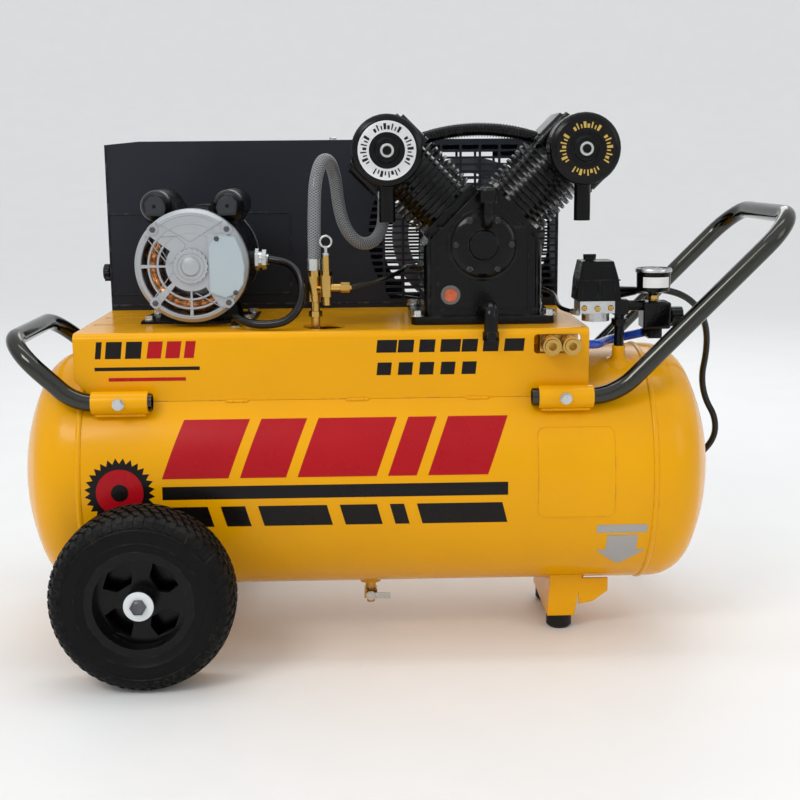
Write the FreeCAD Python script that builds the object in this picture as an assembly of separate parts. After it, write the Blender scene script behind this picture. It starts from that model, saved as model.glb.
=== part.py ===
"""Wheeled air compressor: a horizontal tank on two wheels and a rubber-footed leg, with a bent
sheet saddle on top that carries an electric motor, a V-twin cast iron pump and a belt guard.

Millimetres, +Z up, +X towards the push handle, -Y towards the side with the couplers.
The origin is on the floor, under the middle of the whole machine.
"""

import FreeCAD, Part
import os
from math import acos, atan2, cos, degrees, hypot, pi, radians, sin, sqrt, tan

V = FreeCAD.Vector
X, Y, Z = V(1, 0, 0), V(0, 1, 0), V(0, 0, 1)

# ---- Driving dimensions -------------------------------------------------------------------

HANDLE_REACH = 560.0        # handle tip to the middle of the machine
AXLE_REACH = 312.0          # axle nut face to the middle of the machine
RUN_FIT = 0.05              # radial play of a turning shaft
SLIDE_FIT = 0.3             # play of a sliding or turning cover
HOLE_FIT = 0.3              # radial play of a bolt in its hole

TANK_RADIUS = 178.0
TANK_WALL = 4.0
TANK_LEFT = -557.0
TANK_RIGHT = 460.0
CROWN_RADIUS = 0.9 * 2 * TANK_RADIUS
KNUCKLE_RADIUS = 0.17 * 2 * TANK_RADIUS
HEAD_FLANGE = 16.0
WELD_WIDTH = 8.0
WELD_HEIGHT = 2.2

SADDLE_LEFT = -460.0
SADDLE_RIGHT = 265.0
SADDLE_TOP = 463.3
SADDLE_RISE = 41.6          # saddle top above the top of the tank
SADDLE_HALF_WIDTH = 129.0
SADDLE_REAR = 166.0
SADDLE_SHEET = 4.0
SADDLE_BEND = 10.0
REAR_LIP = 22.0
CORNER_CLIP = 32.0

WHEEL_RADIUS = 125.0
WHEEL_X = -353.5
WHEEL_Y = 262.0
TYRE_HALF_WIDTH = 42.0
RIM_RADIUS = 70.0
HUB_RADIUS = 20.0
HUB_HALF_LENGTH = 39.0
AXLE_RADIUS = 8.0
AXLE_COLLAR = 14.0

HANDLE_TUBE_RADIUS = 12.7
HANDLE_WALL = 2.0
SOCKET_RADIUS = 16.0
SOCKET_Y = 148.0
HANDLE_BOLT_RADIUS = 4.0
LIFT_HANDLE_TIP_Z = 455.0
PUSH_HANDLE_TIP_Z = 618.0

GUARD_SHEET = 2.0
GUARD_LEFT = -460.0
GUARD_RIGHT = 263.0
GUARD_BOTTOM = 436.0
GUARD_TOP = 731.0
GUARD_DEPTH = 92.0
SLOT_LENGTH = 27.0
SLOT_HEIGHT = 7.2
SLOT_PITCH_X = 31.0
SLOT_PITCH_Z = 10.8
VENT_FRONT_RADIUS = 164.0
VENT_BACK_RADIUS = 142.0
VENT_BOTTOM = 476.0
VENT_MARGIN = 4.0

MOTOR_X = -298.0
MOTOR_SHAFT_HEIGHT = 88.9
MOTOR_RADIUS = 81.0
MOTOR_FRONT = -81.0
MOTOR_REAR = 150.0
MOTOR_WALL = 3.0
MOTOR_SHAFT_RADIUS = 8.0
BELL_LENGTH = 29.0
FOOT_BOLT_SPREAD = 72.5

PUMP_X = 120.5
CRANK_HEIGHT = 114.2
PUMP_FRONT = -65.0
PUMP_REAR = 85.0
CASE_HALF_WIDTH = 85.5
FOOT_HALF_WIDTH = 104.5
FOOT_THICKNESS = 12.0
CASE_BORE = 50.0
CRANK_RADIUS = 12.0
CRANK_THROW = 22.0
CYLINDER_Y = 10.0
CYLINDER_BASE = 59.0
CYLINDER_BORE = 32.5
CYLINDER_TOP = 160.0
FIN_RADIUS = 55.0
VALVE_PLATE = 6.0
HEAD_HEIGHT = 45.0
HEAD_HALF_DEPTH = 55.0
HEAD_INNER = 52.0
HEAD_OUTER = 62.0
V_ANGLE = 45.0
CROSSOVER_RADIUS = 9.0
CROSSOVER_RISE = 14.0
CROSSOVER_SINK = 8.0

FLYWHEEL_RADIUS = 125.0
PULLEY_RADIUS = 38.0
GROOVE_DEPTH = 12.0
BELT_THICKNESS = 8.0
BELT_WIDTH = 13.0
BELT_Y = 210.0
BELT_GAP = 1.0

FILTER_RADIUS = 50.0
FILTER_OFFSET_X = 138.0
FILTER_Z = 711.5
FILTER_FRONT = -110.0
FILTER_BACK = -66.0
SNORKEL_RADIUS = 11.5
SNORKEL_END_Z = 612.0

VALVE_X = -122.0
VALVE_Y = -75.0
SAFETY_X = -105.0
SAFETY_Y = -92.0
RISER_X = 318.0
RISER_Y = -72.0
COUPLER_XS = (209.0, 237.0)
COUPLER_Z = 441.5

FOOT_X = 237.0
FOOT_Y = 62.0
FOOT_RADIUS = 19.0
FOOT_HEIGHT = 22.0

HOSE_DIAMETER = 18.0
BLUE_HOSE_DIAMETER = 13.0
MOTOR_CORD_DIAMETER = 12.0
UNLOADER_DIAMETER = 6.4
POWER_CORD_DIAMETER = 10.0

DRAIN_X = -48.0
DRAIN_DROP = 9.7            # drain boss below the bottom of the tank
VALVE_BOSS_TOP = 416.0
RISER_BOSS_TOP = 430.0
PAD_LEFT, PAD_RIGHT = 189.0, 297.0
PAD_BOTTOM, PAD_TOP = 201.0, 327.0
VALVE_HOLE = 30.0
WINDOW = (187.0, 253.0, 428.0, 455.0)
MOTOR_BOLT = 4.0
PUMP_BOLT = 5.0
GUARD_BOLT = 3.0
LIFT_SOCKET = (-433.0, -354.0)
PUSH_SOCKET = (191.0, 268.0)
LIFT_BOLT_X = -394.0
PUSH_BOLT_X = 228.0
BELL_SCREW_REACH = 74.0
BELL_FRONT_RADIUS = 76.0
BELL_SLOT_BANDS = ((36.0, 46.0), (49.0, 59.0), (62.0, 71.0))
BELL_SLOT_ARCS = ((143.0, 178.0), (182.0, 220.0), (230.0, 267.0), (271.0, 304.0))
CAPACITOR_X = 52.0
CAPACITOR_Z = 84.0
CAPACITOR_RADIUS = 23.0
SIGHT_X = 73.0
SIGHT_Z = 506.0
SAFETY_RADIUS = 8.2
SWITCH = (252.0, 314.0, -104.0, -42.0)
SWITCH_SPLIT = 498.0
SWITCH_TOP = 554.0
KNOB_X = 273.0
PIPE_Z = 482.0
REGULATOR = (350.0, 390.0, -90.0, -50.0, 455.0, 494.0)
GAUGE_X = 367.0
GAUGE_Y = -70.0
GAUGE_BOTTOM = 506.0
GAUGE_TOP = 542.0
GAUGE_RADIUS = 26.0
REG_KNOB_Z = 471.0
COUPLER_FACE = -160.0
SLEEVE_ENDS = (-156.0, -134.0)

# ---- Values that follow from them -----------------------------------------------------------

TANK_AXIS_Z = SADDLE_TOP - SADDLE_RISE - TANK_RADIUS
DRAIN_TOP = TANK_AXIS_Z - TANK_RADIUS - DRAIN_DROP
MOTOR_Z = SADDLE_TOP + MOTOR_SHAFT_HEIGHT
PUMP_Z = SADDLE_TOP + CRANK_HEIGHT
PLATE_UNDER = SADDLE_TOP - SADDLE_SHEET
GUARD_FRONT = SADDLE_REAR + SLIDE_FIT
SOCKET_Z = TANK_AXIS_Z + sqrt((TANK_RADIUS + SOCKET_RADIUS) ** 2 - SOCKET_Y ** 2)
HEAD_DEPTH = CROWN_RADIUS - sqrt((CROWN_RADIUS - KNUCKLE_RADIUS) ** 2
                                 - (TANK_RADIUS - KNUCKLE_RADIUS) ** 2)
LEFT_SEAM = TANK_LEFT + HEAD_DEPTH + HEAD_FLANGE
RIGHT_SEAM = TANK_RIGHT - HEAD_DEPTH - HEAD_FLANGE
HEAD_TOP = CYLINDER_TOP + VALVE_PLATE + HEAD_HEIGHT

# ---- Routes of the cords and hoses ------------------------------------------------------------

DISCHARGE_ROUTE = [
    (-122, -75, 561), (-122, -75, 597), (-121, -73, 634), (-119, -67, 670), (-111, -48, 699),
    (-99, -22, 700), (-91, -4, 671), (-88, 4, 634), (-80, 8, 601), (-62, 14, 577),
    (-40, 28, 575), (-25, 50, 590), (-20, 70, 613), (-20, 78, 638),
]
BLUE_ROUTE = [
    (253, -112, 438), (274, -104, 436), (290, -78, 434), (302, -48, 434), (324, -39, 437),
    (344, -46, 442), (356, -60, 447),
]
MOTOR_CORD_ROUTE = [
    (-190, -28, 557), (-168, -34, 555), (-149, -54, 544), (-139, -82, 523), (-142, -104, 496),
    (-160, -114, 476), (-188, -112, 471), (-212, -106, 472), (-230, -92, 477), (-238, -74, 479),
    (-239, -60, 472), (-239, -60, 455),
]
UNLOADER_ROUTE = [
    (-70, -92, 521), (-38, -86, 528), (-8, -60, 535), (8, -16, 540), (10, 36, 540),
    (18, 86, 536), (50, 122, 526), (98, 134, 514), (150, 136, 508), (198, 122, 504),
    (228, 84, 500), (240, 36, 494), (236, -10, 486), (238, -48, 481), (250, -68, 480),
]
POWER_ROUTE = [
    (345, -48, 507), (374, -36, 508), (404, -30, 504), (432, -18, 492), (456, 0, 470),
    (472, 22, 438), (478, 44, 400), (476, 62, 360), (486, 74, 322), (506, 80, 290),
    (508, 88, 254), (484, 98, 222), (462, 108, 186), (450, 122, 146), (440, 144, 106),
    (426, 172, 66), (404, 204, 30), (372, 236, 8), (330, 262, 5), (290, 272, 5),
]
COIL_CENTRE = (290.0, 337.0)
COIL_INNER = 39.0
COIL_OUTER = 71.0
COIL_HEIGHT = 21.0
PLUG_START = (373.0, 328.0)

CORD_HOLE = MOTOR_CORD_ROUTE[-1][:2]
GUARD_BOLT_Z = SADDLE_TOP - REAR_LIP / 2 - 2

# ---- Small tools -----------------------------------------------------------------------------


def box(x0, x1, y0, y1, z0, z1):
    """A block between two corners."""
    return Part.makeBox(x1 - x0, y1 - y0, z1 - z0, V(x0, y0, z0))


def rod(start, end, radius):
    """A cylinder from one point to another."""
    start = V(*start)
    run = V(*end) - start
    return Part.makeCylinder(radius, run.Length, start, run)


def sleeve(start, end, outer, inner):
    """A tube from one point to another."""
    return rod(start, end, outer).cut(rod(start, end, inner))


def fuse(shapes):
    """Join shapes that touch or overlap into one solid."""
    first, rest = shapes[0], shapes[1:]
    return first.multiFuse(rest).removeSplitter() if rest else first


def group(shapes):
    """Keep separate solids together in one node."""
    return Part.makeCompound(shapes)


def mirrored(shape, normal, at=0.0):
    """The same shape on the other side of a plane."""
    return shape.mirror(normal * at, normal)


def arc_or_line(start, end, middle):
    """One edge of an outline, curved when it has a middle point."""
    if middle is None:
        return Part.LineSegment(start, end).toShape()
    return Part.Arc(start, middle, end).toShape()


def turned(profile, base, axis):
    """Revolve an outline of (radius, height[, middle point of the arc that arrives here])."""
    points = [V(p[0], 0, p[1]) for p in profile]
    edges = []
    for i, here in enumerate(profile):
        middle = V(here[2][0], 0, here[2][1]) if len(here) > 2 else None
        if (points[i] - points[i - 1]).Length > 1e-6:
            edges.append(arc_or_line(points[i - 1], points[i], middle))
    solid = Part.Face(Part.Wire(edges)).revolve(V(), Z, 360)
    solid = Part.makeSolid(Part.Shell(solid.Faces)) if solid.ShapeType != "Solid" else solid
    solid.Placement = FreeCAD.Placement(V(*base), FreeCAD.Rotation(Z, V(*axis)))
    return solid


def plate_y(outline, y0, y1):
    """Extrude an outline of (x, z) points from y0 to y1."""
    points = [V(x, y0, z) for x, z in outline]
    return Part.Face(Part.makePolygon(points + points[:1])).extrude(Y * (y1 - y0))


def plate_x(outline, x0, x1):
    """Extrude an outline of (y, z) points from x0 to x1."""
    points = [V(x0, y, z) for y, z in outline]
    return Part.Face(Part.makePolygon(points + points[:1])).extrude(X * (x1 - x0))


def hexagon(base, axis, across, height):
    """A hexagonal prism, as wide across its flats as a spanner."""
    reach = across / sqrt(3)
    points = [V(reach * cos(radians(60 * i)), reach * sin(radians(60 * i)), 0) for i in range(7)]
    prism = Part.Face(Part.makePolygon(points)).extrude(Z * height)
    prism.Placement = FreeCAD.Placement(V(*base), FreeCAD.Rotation(Z, V(*axis)))
    return prism


def bolt(head, axis, radius, length):
    """A hex bolt with a washer: head is the seat under the washer, axis points out of it."""
    seat = V(*head)
    out = V(*axis)
    washer = 0.4 * radius
    pieces = [
        rod(seat, seat + out * washer, 2.1 * radius),
        hexagon(seat + out * washer, out, 3.2 * radius, 1.3 * radius),
        rod(seat - out * length, seat, radius),
    ]
    return fuse(pieces)


def path_of(points, bends=None):
    """Straight runs joined by tangent arcs. Without bends, each arc is as large as 0.45 of the
    shorter run allows. Returns the wire and the radii."""
    points = [V(*p) for p in points]
    edges, radii = [], []
    last = points[0]
    for i in range(1, len(points) - 1):
        before = points[i] - points[i - 1]
        after = points[i + 1] - points[i]
        half_turn = before.getAngle(after) / 2
        if bends is None:
            radius = 0.45 * min(before.Length, after.Length) / tan(half_turn)
        else:
            radius = bends[i - 1]
        reach = radius * tan(half_turn)
        before.normalize()
        after.normalize()
        start = points[i] - before * reach
        end = points[i] + after * reach
        inward = after - before
        inward.normalize()
        middle = points[i] + inward * (radius / cos(half_turn) - radius)
        edges.append(Part.LineSegment(last, start).toShape())
        edges.append(Part.Arc(start, middle, end).toShape())
        radii.append(radius)
        last = end
    edges.append(Part.LineSegment(last, points[-1]).toShape())
    return Part.Wire(edges), radii


def swept(points, radius, bends=None):
    """A round bar along a path."""
    wire, _ = path_of(points, bends)
    start = V(*points[0])
    circle = Part.Wire(Part.makeCircle(radius, start, V(*points[1]) - start))
    return wire.makePipeShell([circle], True, False)


def cord(name, points, diameter):
    """A cord's tube, with its bends and length printed."""
    wire, radii = path_of(points)
    tube = swept(points, diameter / 2)
    expected = pi * (diameter / 2) ** 2 * wire.Length
    print(f"{name}: length {wire.Length:.0f}, volume ratio {tube.Volume / expected:.4f}, "
          f"radii {[round(r) for r in radii]}")
    return tube


def stub(route, length, radius, at_end=False):
    """A short straight spigot that meets one end of a route squarely."""
    end, beside = (route[-1], route[-2]) if at_end else (route[0], route[1])
    out = V(*end) - V(*beside)
    out.normalize()
    return rod(V(*end), V(*end) + out * length, radius)


def tank_body(radius=TANK_RADIUS):
    """The straight part of the tank as a solid bar, for cutting what is welded to it."""
    return rod((TANK_LEFT, 0, TANK_AXIS_Z), (TANK_RIGHT, 0, TANK_AXIS_Z), radius)


def tank_height(y):
    """Height of the tank's upper surface above the floor at a distance from its middle plane."""
    return TANK_AXIS_Z + sqrt(TANK_RADIUS ** 2 - y ** 2)


# ---- Tank ---------------------------------------------------------------------------------------


def tank_head(seam, side):
    """A dished head with a rounded knuckle and a short straight flange, plus its weld bead."""
    centre = HEAD_FLANGE + HEAD_DEPTH - CROWN_RADIUS
    knuckle = (TANK_RADIUS - KNUCKLE_RADIUS, HEAD_FLANGE)
    tilt = atan2(knuckle[0], knuckle[1] - centre)

    def surface(inset):
        crown = CROWN_RADIUS - inset
        small = KNUCKLE_RADIUS - inset
        halfway = (pi / 2 - tilt) / 2 + tilt
        join = (crown * sin(tilt), centre + crown * cos(tilt))
        knuckle_middle = (knuckle[0] + small * sin(halfway), knuckle[1] + small * cos(halfway))
        crown_middle = (crown * sin(tilt / 2), centre + crown * cos(tilt / 2))
        return join, knuckle_middle, (0, centre + crown), crown_middle

    join, knuckle_middle, apex, crown_middle = surface(0)
    join_in, knuckle_in, apex_in, crown_in = surface(TANK_WALL)
    inner = TANK_RADIUS - TANK_WALL
    profile = [
        (inner, 0), (TANK_RADIUS, 0), (TANK_RADIUS, HEAD_FLANGE), (*join, knuckle_middle),
        (*apex, crown_middle), apex_in, (*join_in, crown_in), (inner, HEAD_FLANGE, knuckle_in),
    ]
    base = (seam, 0, TANK_AXIS_Z)
    head = turned(profile, base, (side, 0, 0))
    bead_profile = [
        (TANK_RADIUS - 1, -WELD_WIDTH / 2), (TANK_RADIUS, -WELD_WIDTH / 2),
        (TANK_RADIUS, WELD_WIDTH / 2, (TANK_RADIUS + WELD_HEIGHT, 0)),
        (TANK_RADIUS - 1, WELD_WIDTH / 2),
    ]
    bead = turned(bead_profile, base, (side, 0, 0)).cut(tank_body())
    return fuse([head, bead])


def bung(x, y, top, radius):
    """A threaded boss standing on the tank."""
    return rod((x, y, tank_height(y) - 30), (x, y, top), radius).cut(tank_body())


def tank_shell():
    axis_start = (LEFT_SEAM, 0, TANK_AXIS_Z)
    axis_end = (RIGHT_SEAM, 0, TANK_AXIS_Z)
    shell = sleeve(axis_start, axis_end, TANK_RADIUS, TANK_RADIUS - TANK_WALL)
    drain_boss = rod((DRAIN_X, 0, DRAIN_TOP), (DRAIN_X, 0, DRAIN_TOP + 30), 16)
    bosses = [
        bung(VALVE_X, VALVE_Y, VALVE_BOSS_TOP, 16),
        bung(RISER_X, RISER_Y, RISER_BOSS_TOP, 9.5),
        drain_boss.cut(tank_body()),
    ]
    pad = sleeve((PAD_LEFT, 0, TANK_AXIS_Z), (PAD_RIGHT, 0, TANK_AXIS_Z),
                 TANK_RADIUS + 1.2, TANK_RADIUS)
    window = box(PAD_LEFT, PAD_RIGHT, -TANK_RADIUS - 5, 0, PAD_BOTTOM, PAD_TOP)
    corners = [e for e in window.Edges if abs(e.tangentAt(0).y) > 0.9]
    pad = pad.common(window.makeFillet(10, corners))
    return fuse([shell] + bosses + [pad])


def drain_valve():
    """A ball drain under the tank, with a hex body and a turned-down outlet."""
    body = rod((DRAIN_X, 0, DRAIN_TOP - 14), (DRAIN_X, 0, DRAIN_TOP), 8)
    block = box(DRAIN_X - 10, DRAIN_X + 10, -10, 10, DRAIN_TOP - 26, DRAIN_TOP - 12)
    outlet = rod((DRAIN_X, 0, DRAIN_TOP - 34), (DRAIN_X, 0, DRAIN_TOP - 26), 6)
    stem = rod((DRAIN_X, -16, DRAIN_TOP - 19), (DRAIN_X, -10, DRAIN_TOP - 19), 4)
    return fuse([body, block, outlet, stem])


def drain_handle():
    """A short lever on the drain's stem."""
    y1 = -16 - SLIDE_FIT
    hub = rod((DRAIN_X, y1 - 5, DRAIN_TOP - 19), (DRAIN_X, y1, DRAIN_TOP - 19), 7)
    arm = box(DRAIN_X, DRAIN_X + 30, y1 - 4, y1 - 1, DRAIN_TOP - 23.5, DRAIN_TOP - 14.5)
    return fuse([hub, arm])


# ---- Saddle, leg, brackets ------------------------------------------------------------------------


def motor_bolt_places():
    return [(MOTOR_X + side * FOOT_BOLT_SPREAD, y) for side in (-1, 1) for y in (-5.0, 79.0)]


def pump_bolt_places():
    return [(PUMP_X + side * (FOOT_HALF_WIDTH - 9), y)
            for side in (-1, 1) for y in (PUMP_FRONT, PUMP_REAR)]


def guard_bolt_places():
    return [GUARD_LEFT + 40, (GUARD_LEFT + GUARD_RIGHT) / 2, GUARD_RIGHT - 40]


def adjusting_slots():
    """Long slots along the top plate, for sliding the motor when the belt is tightened."""
    slots = []
    for x0, x1, y in ((-450, -392, 64), (-450, -384, -24), (-200, -150, 98), (-200, -150, 60),
                      (-200, -150, 8), (-200, -158, -28)):
        slots.append(box(x0, x1, y - 4, y + 4, PLATE_UNDER - 5, SADDLE_TOP + 5))
    return slots


def saddle():
    """The folded top plate with its two skirts resting on the tank."""
    low = TANK_AXIS_Z
    outer = box(SADDLE_LEFT, SADDLE_RIGHT, -SADDLE_HALF_WIDTH, SADDLE_HALF_WIDTH, low, SADDLE_TOP)
    outer = outer.makeFillet(SADDLE_BEND, top_edges(outer))
    inner = box(SADDLE_LEFT, SADDLE_RIGHT, SADDLE_SHEET - SADDLE_HALF_WIDTH,
                SADDLE_HALF_WIDTH - SADDLE_SHEET, low, PLATE_UNDER)
    inner = inner.makeFillet(SADDLE_BEND - SADDLE_SHEET, top_edges(inner))
    channel = outer.cut(inner).cut(tank_body())
    shelf = box(SADDLE_LEFT, SADDLE_RIGHT, 0, SADDLE_REAR, PLATE_UNDER, SADDLE_TOP)
    lip = box(SADDLE_LEFT, SADDLE_RIGHT, SADDLE_REAR - SADDLE_SHEET, SADDLE_REAR,
              SADDLE_TOP - REAR_LIP, SADDLE_TOP)
    plate = fuse([channel, shelf.cut(inner), lip])
    skirt_foot = tank_height(SADDLE_HALF_WIDTH)
    clip = [(SADDLE_LEFT - 1, skirt_foot - 20), (SADDLE_LEFT + CORNER_CLIP, skirt_foot - 20),
            (SADDLE_LEFT + CORNER_CLIP, skirt_foot - 1), (SADDLE_LEFT - 1, skirt_foot + CORNER_CLIP)]
    x0, x1, z0, z1 = WINDOW
    window = box(x0, x1, -SADDLE_HALF_WIDTH - 5, -SADDLE_HALF_WIDTH + 10, z0, z1)
    holes = [plate_y(clip, -SADDLE_HALF_WIDTH - 5, SADDLE_HALF_WIDTH + 5)]
    holes.append(window.makeFillet(5, [e for e in window.Edges if abs(e.tangentAt(0).y) > 0.9]))
    holes.append(rod((VALVE_X + 12, VALVE_Y, PLATE_UNDER - 5), (VALVE_X + 12, VALVE_Y, SADDLE_TOP + 5),
                     VALVE_HOLE))
    holes.append(rod((*CORD_HOLE, PLATE_UNDER - 9), (*CORD_HOLE, SADDLE_TOP + 5), 9))
    holes += adjusting_slots()
    for places, radius in ((motor_bolt_places(), MOTOR_BOLT), (pump_bolt_places(), PUMP_BOLT)):
        for x, y in places:
            holes.append(rod((x, y, PLATE_UNDER - 5), (x, y, SADDLE_TOP + 5), radius + HOLE_FIT))
    for x in guard_bolt_places():
        holes.append(rod((x, SADDLE_REAR - 10, GUARD_BOLT_Z), (x, SADDLE_REAR + 10, GUARD_BOLT_Z),
                         GUARD_BOLT + HOLE_FIT))
    return plate.cut(Part.makeCompound(holes))


def top_edges(shape):
    """The long upper edges of a block."""
    top = shape.BoundBox.ZMax
    return [e for e in shape.Edges
            if abs(e.tangentAt(0).x) > 0.9 and abs(e.BoundBox.ZMin - top) < 1e-6]


def foot_bracket():
    """A transverse channel welded under the tank, with a rib towards the drain end."""
    top = TANK_AXIS_Z - 100
    half = FOOT_Y + 20
    outline = [(FOOT_X - 20, FOOT_HEIGHT), (FOOT_X + 20, FOOT_HEIGHT), (FOOT_X + 33, 92),
               (FOOT_X + 33, top), (FOOT_X - 16, top), (FOOT_X - 16, 92)]
    inside = [(FOOT_X - 16, FOOT_HEIGHT + 4), (FOOT_X + 16.5, FOOT_HEIGHT + 4), (FOOT_X + 29, 92),
              (FOOT_X + 29, top + 1), (FOOT_X - 12, top + 1), (FOOT_X - 12, 92)]
    body = plate_y(outline, -half, half).cut(plate_y(inside, -half + 4, half - 4))
    rib = plate_y([(FOOT_X + 27, 40), (FOOT_X + 48, 44), (FOOT_X + 70, 60), (FOOT_X + 70, 80),
                   (FOOT_X + 27, 80)], -half, -half + 4)
    holes = [rod((FOOT_X, s * FOOT_Y, 0), (FOOT_X, s * FOOT_Y, 30), 4 + HOLE_FIT) for s in (-1, 1)]
    return fuse([body, rib]).cut(tank_body()).cut(Part.makeCompound(holes))


def rubber_foot(side):
    """A tapered rubber bumper with its screw."""
    profile = [(0, 0), (FOOT_RADIUS - 4, 0), (FOOT_RADIUS, 4), (FOOT_RADIUS, FOOT_HEIGHT),
               (0, FOOT_HEIGHT)]
    bumper = turned(profile, (FOOT_X, side * FOOT_Y, 0), (0, 0, 1))
    screw = rod((FOOT_X, side * FOOT_Y, FOOT_HEIGHT), (FOOT_X, side * FOOT_Y, FOOT_HEIGHT + 10), 4)
    return fuse([bumper, screw])


def axle_bracket(side):
    """A welded arm that carries a stub axle."""
    inner_end = WHEEL_Y - HUB_HALF_LENGTH - 5
    z = WHEEL_RADIUS
    arm = box(WHEEL_X - 24, WHEEL_X + 24, 60, inner_end - 5, z - 22, z + 22)
    web = plate_x([(80, z + 20), (inner_end - 20, z + 20), (150, z + 95), (80, z + 95)],
                  WHEEL_X - 3, WHEEL_X + 3)
    bracket = fuse([arm, web]).cut(tank_body())
    axle = rod((WHEEL_X, inner_end - 40, z), (WHEEL_X, AXLE_REACH - 2, z), AXLE_RADIUS)
    collar = rod((WHEEL_X, inner_end - 5, z), (WHEEL_X, inner_end, z), AXLE_COLLAR)
    whole = fuse([bracket, axle, collar])
    return whole if side > 0 else mirrored(whole, Y)


def axle_fasteners(side):
    """A washer and a hex nut on the end of a stub axle."""
    hub_end = WHEEL_Y + HUB_HALF_LENGTH
    z = WHEEL_RADIUS
    at = (WHEEL_X, hub_end + 2 * SLIDE_FIT, z)
    washer = sleeve(at, (WHEEL_X, hub_end + 3, z), 20, AXLE_RADIUS)
    nut = hexagon((WHEEL_X, hub_end + 3, z), (0, 1, 0), 21, AXLE_REACH - hub_end - 3)
    nut = nut.cut(rod(at, (WHEEL_X, AXLE_REACH - 2, z), AXLE_RADIUS))
    pair = [washer, nut]
    return pair if side > 0 else [mirrored(piece, Y) for piece in pair]


# ---- Wheels ----------------------------------------------------------------------------------------


def wheel_rim(side):
    """A moulded wheel: hub, outer web with four swept openings, plain inner web, and a barrel."""
    half = TYRE_HALF_WIDTH
    barrel = sleeve((0, -half + 6, 0), (0, half - 6, 0), RIM_RADIUS, RIM_RADIUS - 8)
    lips = [sleeve((0, s * (half - 6), 0), (0, s * (half - 10), 0), RIM_RADIUS + 3, RIM_RADIUS - 8)
            for s in (-1, 1)]
    hub = rod((0, -HUB_HALF_LENGTH, 0), (0, HUB_HALF_LENGTH, 0), HUB_RADIUS)
    web = rod((0, 8, 0), (0, 16, 0), RIM_RADIUS - 4)
    cuts = []
    for i in range(4):
        a = 90 * i + 20
        corners = [(26, a + 8), (38, a - 4), (54, a + 2), (58, a + 28), (54, a + 52), (34, a + 50)]
        outline = [(r * cos(radians(t)), r * sin(radians(t))) for r, t in corners]
        cuts.append(plate_y(outline, 0, 30))
    web = web.cut(Part.makeCompound(cuts))
    inner_web = rod((0, -16, 0), (0, -12, 0), RIM_RADIUS - 4)
    wheel = fuse([barrel, hub, web, inner_web] + lips)
    wheel = wheel.cut(rod((0, -60, 0), (0, 60, 0), AXLE_RADIUS + RUN_FIT))
    wheel.translate(V(WHEEL_X, WHEEL_Y, WHEEL_RADIUS))
    return wheel if side > 0 else mirrored(wheel, Y)


def wheel_tyre(side):
    """A tyre with bulged walls and a grooved tread."""
    half = TYRE_HALF_WIDTH
    lip = RIM_RADIUS + 3
    profile = [
        (RIM_RADIUS, -half + 10), (lip, -half + 10), (lip, -half + 6),
        (WHEEL_RADIUS - 13, -half + 3, (RIM_RADIUS + 26, -half)),
        (WHEEL_RADIUS, -half + 18, (WHEEL_RADIUS - 4, -half + 8)),
        (WHEEL_RADIUS, half - 18),
        (WHEEL_RADIUS - 13, half - 3, (WHEEL_RADIUS - 4, half - 8)),
        (lip, half - 6, (RIM_RADIUS + 26, half)),
        (lip, half - 10), (RIM_RADIUS, half - 10),
    ]
    tyre = turned(profile, (WHEEL_X, side * WHEEL_Y, WHEEL_RADIUS), (0, 1, 0))
    grooves = []
    for offset in (-12, 0, 12):
        y = side * WHEEL_Y + offset
        grooves.append(sleeve((WHEEL_X, y - 1.5, WHEEL_RADIUS), (WHEEL_X, y + 1.5, WHEEL_RADIUS),
                              WHEEL_RADIUS + 2, WHEEL_RADIUS - 4))
    return tyre.cut(Part.makeCompound(grooves))


# ---- Handles ----------------------------------------------------------------------------------------


def handle(tube_end, bend_x, tip_z, side, bends):
    """A bent tube: out of a socket, up at a slant, across the machine and back."""
    tip_x = side * (HANDLE_REACH - HANDLE_TUBE_RADIUS)
    start = (tube_end, -SOCKET_Y, SOCKET_Z)
    knee = (bend_x, -SOCKET_Y, SOCKET_Z)
    corner = (tip_x, -SOCKET_Y, tip_z)
    near = [start, knee, corner]
    far = [(x, -y, z) for x, y, z in reversed(near)]
    route = near + far
    radii = [bends[0], bends[1], bends[1], bends[0]]
    bar = swept(route, HANDLE_TUBE_RADIUS, radii)
    hollow = swept(route, HANDLE_TUBE_RADIUS - HANDLE_WALL, radii)
    tube = bar.cut(hollow)
    bolt_x = LIFT_BOLT_X if side < 0 else PUSH_BOLT_X
    drill = rod((bolt_x, -SOCKET_Y - 30, SOCKET_Z), (bolt_x, -SOCKET_Y, SOCKET_Z),
                HANDLE_BOLT_RADIUS + HOLE_FIT)
    return tube.cut(drill).cut(mirrored(drill, Y))


def handle_socket(ends, bolt_x, side):
    """A short tube welded along the tank's shoulder."""
    x0, x1 = ends
    bar = rod((x0, SOCKET_Y, SOCKET_Z), (x1, SOCKET_Y, SOCKET_Z), SOCKET_RADIUS)
    weld = box(x0 + 4, x1 - 4, SOCKET_Y - 22, SOCKET_Y - 4, SOCKET_Z - 26, SOCKET_Z - 6)
    tube = fuse([bar, weld.cut(tank_body())])
    tube = tube.cut(rod((x0 - 1, SOCKET_Y, SOCKET_Z), (x1 + 1, SOCKET_Y, SOCKET_Z),
                        HANDLE_TUBE_RADIUS + HOLE_FIT))
    drill = rod((bolt_x, SOCKET_Y, SOCKET_Z), (bolt_x, SOCKET_Y + 30, SOCKET_Z),
                HANDLE_BOLT_RADIUS + HOLE_FIT)
    tube = tube.cut(drill)
    return tube if side > 0 else mirrored(tube, Y)


def handle_bolt(x, side):
    seat = (x, side * (SOCKET_Y + SOCKET_RADIUS), SOCKET_Z)
    return bolt(seat, (0, side, 0), HANDLE_BOLT_RADIUS, 9)


# ---- Belt guard ---------------------------------------------------------------------------------------


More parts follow.
